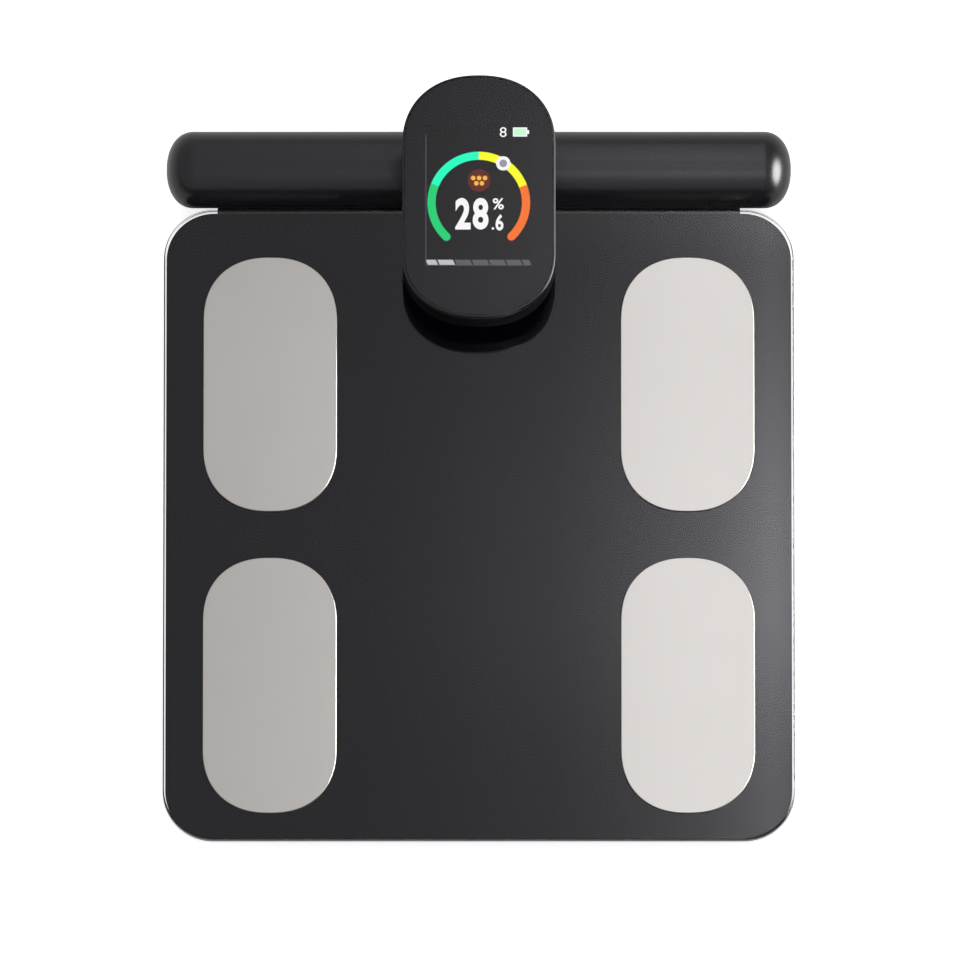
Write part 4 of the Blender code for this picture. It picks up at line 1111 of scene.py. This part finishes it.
CARRIED = (
    ("load_cell_bracket", ACETAL),
    ("load_cell", ZINC),
    ("main_board", BOARD_GREEN),
    ("battery_contacts", NICKEL),
    ("battery_door", GRAINED_BLACK),
    ("battery_", BATTERY_WRAP),
    ("reel_housing", GRAINED_BLACK),
    ("reel_lid", GRAINED_BLACK),
    ("reel_axle", SPRING_STEEL),
    ("reel_spring", SPRING_STEEL),
    ("reel_spool", ACETAL),
    ("cable_gland", RUBBER),
    ("cable_inlet", RUBBER),
    ("cable_winding", CABLE_PVC),
    ("dock_magnet", NICKEL),
    ("keeper_plate", ZINC),
    ("display_board", BOARD_GREEN),
    ("display_screw", ZINC),
)


def finish_for(name):
    for start, finish in CARRIED:
        if name.startswith(start):
            return finish
    return None


def carried_over():
    for name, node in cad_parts.items():
        finish = finish_for(name)
        if finish is None:
            continue
        for slot in node.material_slots:
            slot.material = finish


# ---- Studio ----------------------------------------------------------------------------------------------


def camera():
    """Looks down from the user's side, 12 degrees off the vertical, from far away."""
    data = bpy.data.cameras.new("camera")
    data.lens = 946.3
    data.sensor_width = 36
    data.clip_end = 30
    item = bpy.data.objects.new("camera", data)
    slope = math.radians(78)
    distance = 12.0
    target = Vector((0.00057, -0.0058, 0.028))
    item.location = target + distance * Vector((0, -math.cos(slope), math.sin(slope)))
    item.rotation_euler = (math.radians(90) - slope, 0, 0)
    bpy.context.scene.collection.objects.link(item)
    bpy.context.scene.camera = item


def map_range(nodes, links, value, span, target=(0.0, 1.0), easing="LINEAR"):
    """Maps a value from one span of numbers to another."""
    node = nodes.new("ShaderNodeMapRange")
    node.interpolation_type = easing
    adjust(node, From_Min=span[0], From_Max=span[1], To_Min=target[0], To_Max=target[1])
    links.new(value, node.inputs["Value"])
    return node.outputs["Result"]


def tone_along(nodes, links, value, tones):
    """A grey tone along one axis, from pairs of a place in metres and the tone there."""
    low, high = tones[0][0], tones[-1][0]
    node = nodes.new("ShaderNodeValToRGB")
    ramp = node.color_ramp
    for index, (place, tone) in enumerate(tones):
        if index == 0:
            element = ramp.elements[0]
        elif index == len(tones) - 1:
            element = ramp.elements[-1]
        else:
            element = ramp.elements.new((place - low) / (high - low))
        element.color = (tone, tone, tone, 1.0)
    links.new(map_range(nodes, links, value, (low, high)), node.inputs["Fac"])
    return node.outputs["Color"]


def softbox(name, width, length, centre, turn=(0, 0, 0)):
    """A glowing panel that only reflections show: gives its nodes, its links and its glow."""
    put_down()
    bpy.ops.mesh.primitive_plane_add(size=1, location=centre, rotation=turn)
    panel = bpy.context.active_object
    panel.name = name
    panel.scale = (width, length, 1)
    settle(panel)
    material = bpy.data.materials.new(name)
    material.use_nodes = True
    nodes, links = material.node_tree.nodes, material.node_tree.links
    nodes.clear()
    glow = nodes.new("ShaderNodeEmission")
    result = nodes.new("ShaderNodeOutputMaterial")
    links.new(glow.outputs["Emission"], result.inputs["Surface"])
    panel.data.materials.append(material)
    panel.visible_camera = False
    panel.visible_diffuse = False
    panel.visible_transmission = False
    panel.visible_shadow = False
    return nodes, links, glow


def glow_panel():
    """The softbox overhead that the glass mirrors, dim on the left and bright to the right."""
    height = 0.9
    mirror_shift = height * math.tan(math.radians(12))
    centre = (0, mirror_shift, height + GLASS_HIGH.z)
    nodes, links, glow = softbox("glow_panel", 6.0, 6.0, centre)
    place = nodes.new("ShaderNodeSeparateXYZ")
    links.new(nodes.new("ShaderNodeTexCoord").outputs["Object"], place.inputs["Vector"])
    # place across in metres, and a tenth of the brightness there
    across = tone_along(nodes, links, place.outputs["X"], [
        (-0.30, 0.056), (-0.14, 0.058), (-0.054, 0.067), (-0.018, 0.081), (0.0, 0.091), (0.02, 0.101),
        (0.038, 0.112), (0.062, 0.140), (0.085, 0.183), (0.107, 0.237), (0.120, 0.275), (0.130, 0.335),
        (0.141, 0.400), (0.150, 0.470), (0.158, 0.42), (0.185, 0.10), (0.30, 0.045),
    ])
    # place front to rear in metres, and the share of the brightness there
    share = tone_along(nodes, links, place.outputs["Y"], [
        (-1.4, 0.12), (-0.9, 0.16), (-0.5, 0.60), (-0.2, 1.50), (-0.10, 0.95), (-0.03, 0.52),
        (0.0175, 0.52), (0.054, 0.66), (0.078, 0.81), (0.1026, 0.955), (0.127, 1.0), (0.1755, 0.93),
        (0.224, 0.71), (0.273, 0.50), (0.297, 0.44), (0.34, 0.75), (0.40, 1.05), (1.1, 0.85), (3.0, 0.55),
    ])
    floor_tone = 0.058
    above = math_node(nodes, links, "SUBTRACT", across, floor_tone)
    lifted = math_node(nodes, links, "MAXIMUM", above, 0.0)
    shaped = math_node(nodes, links, "MULTIPLY", lifted, share)
    low = math_node(nodes, links, "MINIMUM", across, floor_tone)
    tone = math_node(nodes, links, "ADD", shaped, low)
    adjust(glow, Color=(1.0, 0.975, 1.03, 1.0))
    links.new(math_node(nodes, links, "MULTIPLY", tone, 10.0), glow.inputs["Strength"])


def side_panel():
    """A tall softbox that stands to the right, which the bar's end and the steel catch."""
    turn = (0, math.radians(-90), 0)
    nodes, links, glow = softbox("side_panel", 0.88, 1.10, (0.90, 0.02, 0.46), turn)
    brightest = (0.90, -0.04, 0.44)
    spread = nodes.new("ShaderNodeVectorMath")
    spread.operation = "DISTANCE"
    spread.inputs[1].default_value = brightest
    links.new(nodes.new("ShaderNodeTexCoord").outputs["Object"], spread.inputs[0])
    edge = map_range(nodes, links, spread.outputs["Value"], (0.24, 0.62), (20.0, 0.3), "SMOOTHSTEP")
    links.new(edge, glow.inputs["Strength"])


def white_floor():
    """A plain pale floor, bright enough in view to drown its own faint shadows."""
    put_down()
    bpy.ops.mesh.primitive_plane_add(size=60, location=(0, 0, -0.0002))
    floor = bpy.context.active_object
    floor.name = "floor"
    settle(floor)
    material, nodes, links, shader = new_finish("pale floor")
    tone = use(nodes, TONE, Colour=(0.85, 0.85, 0.85, 1.0), Drift=0.01, Patches_per_Metre=5.0)
    links.new(tone.outputs["Colour"], shader.inputs["Base Color"])
    adjust(shader, Roughness=0.7, Specular_IOR_Level=0.0, Emission_Color=(1.0, 1.0, 1.0, 1.0))
    path = nodes.new("ShaderNodeLightPath")
    in_view, through_glass = path.outputs["Is Camera Ray"], path.outputs["Is Transmission Ray"]
    seen = math_node(nodes, links, "MAXIMUM", in_view, through_glass)
    links.new(math_node(nodes, links, "MULTIPLY", seen, 0.70), shader.inputs["Emission Strength"])
    floor.data.materials.append(material)


def white_room():
    """White in view. As light it is soft, and dark towards the user's side, where the room is."""
    world = bpy.data.worlds.new("studio")
    world.use_nodes = True
    nodes, links = world.node_tree.nodes, world.node_tree.links
    background = nodes["Background"]
    background.inputs["Color"].default_value = (1.0, 1.0, 1.0, 1.0)
    way = nodes.new("ShaderNodeSeparateXYZ")
    links.new(nodes.new("ShaderNodeTexCoord").outputs["Generated"], way.inputs["Vector"])
    toward_rear = math_node(nodes, links, "ADD", way.outputs["Y"], 1.0)
    height = math_node(nodes, links, "ADD", way.outputs["Z"], toward_rear)
    light = map_range(nodes, links, height, (0.05, 1.25), (0.0, 0.5), "SMOOTHSTEP")
    seen = nodes.new("ShaderNodeLightPath").outputs["Is Camera Ray"]
    strength = math_node(nodes, links, "MAXIMUM", seen, light)
    links.new(strength, background.inputs["Strength"])
    bpy.context.scene.world = world


def overhead_lamp():
    lamp = bpy.data.lights.new("overhead", "AREA")
    lamp.shape = "DISK"
    lamp.size = 5.0
    lamp.energy = 80.0
    item = bpy.data.objects.new("overhead", lamp)
    item.location = (0.6, 0.2, 4.0)
    item.rotation_euler = (0, math.atan2(0.6, 4.0), 0)
    item.visible_glossy = False
    item.visible_transmission = False
    bpy.context.scene.collection.objects.link(item)


def studio():
    white_floor()
    white_room()
    glow_panel()
    side_panel()
    overhead_lamp()
    bpy.context.scene.view_settings.view_transform = "Standard"


# ---- Making it all ---------------------------------------------------------------------------------------

camera()
studio()
platform_glass()
foot_plates()
hand_bar()
display_case()
display_frame()
screen_picture()
tray()
feet()
unit_button()
battery_door()
dock()
handle_cable()
hand_electrodes()
carried_over()
put_down()
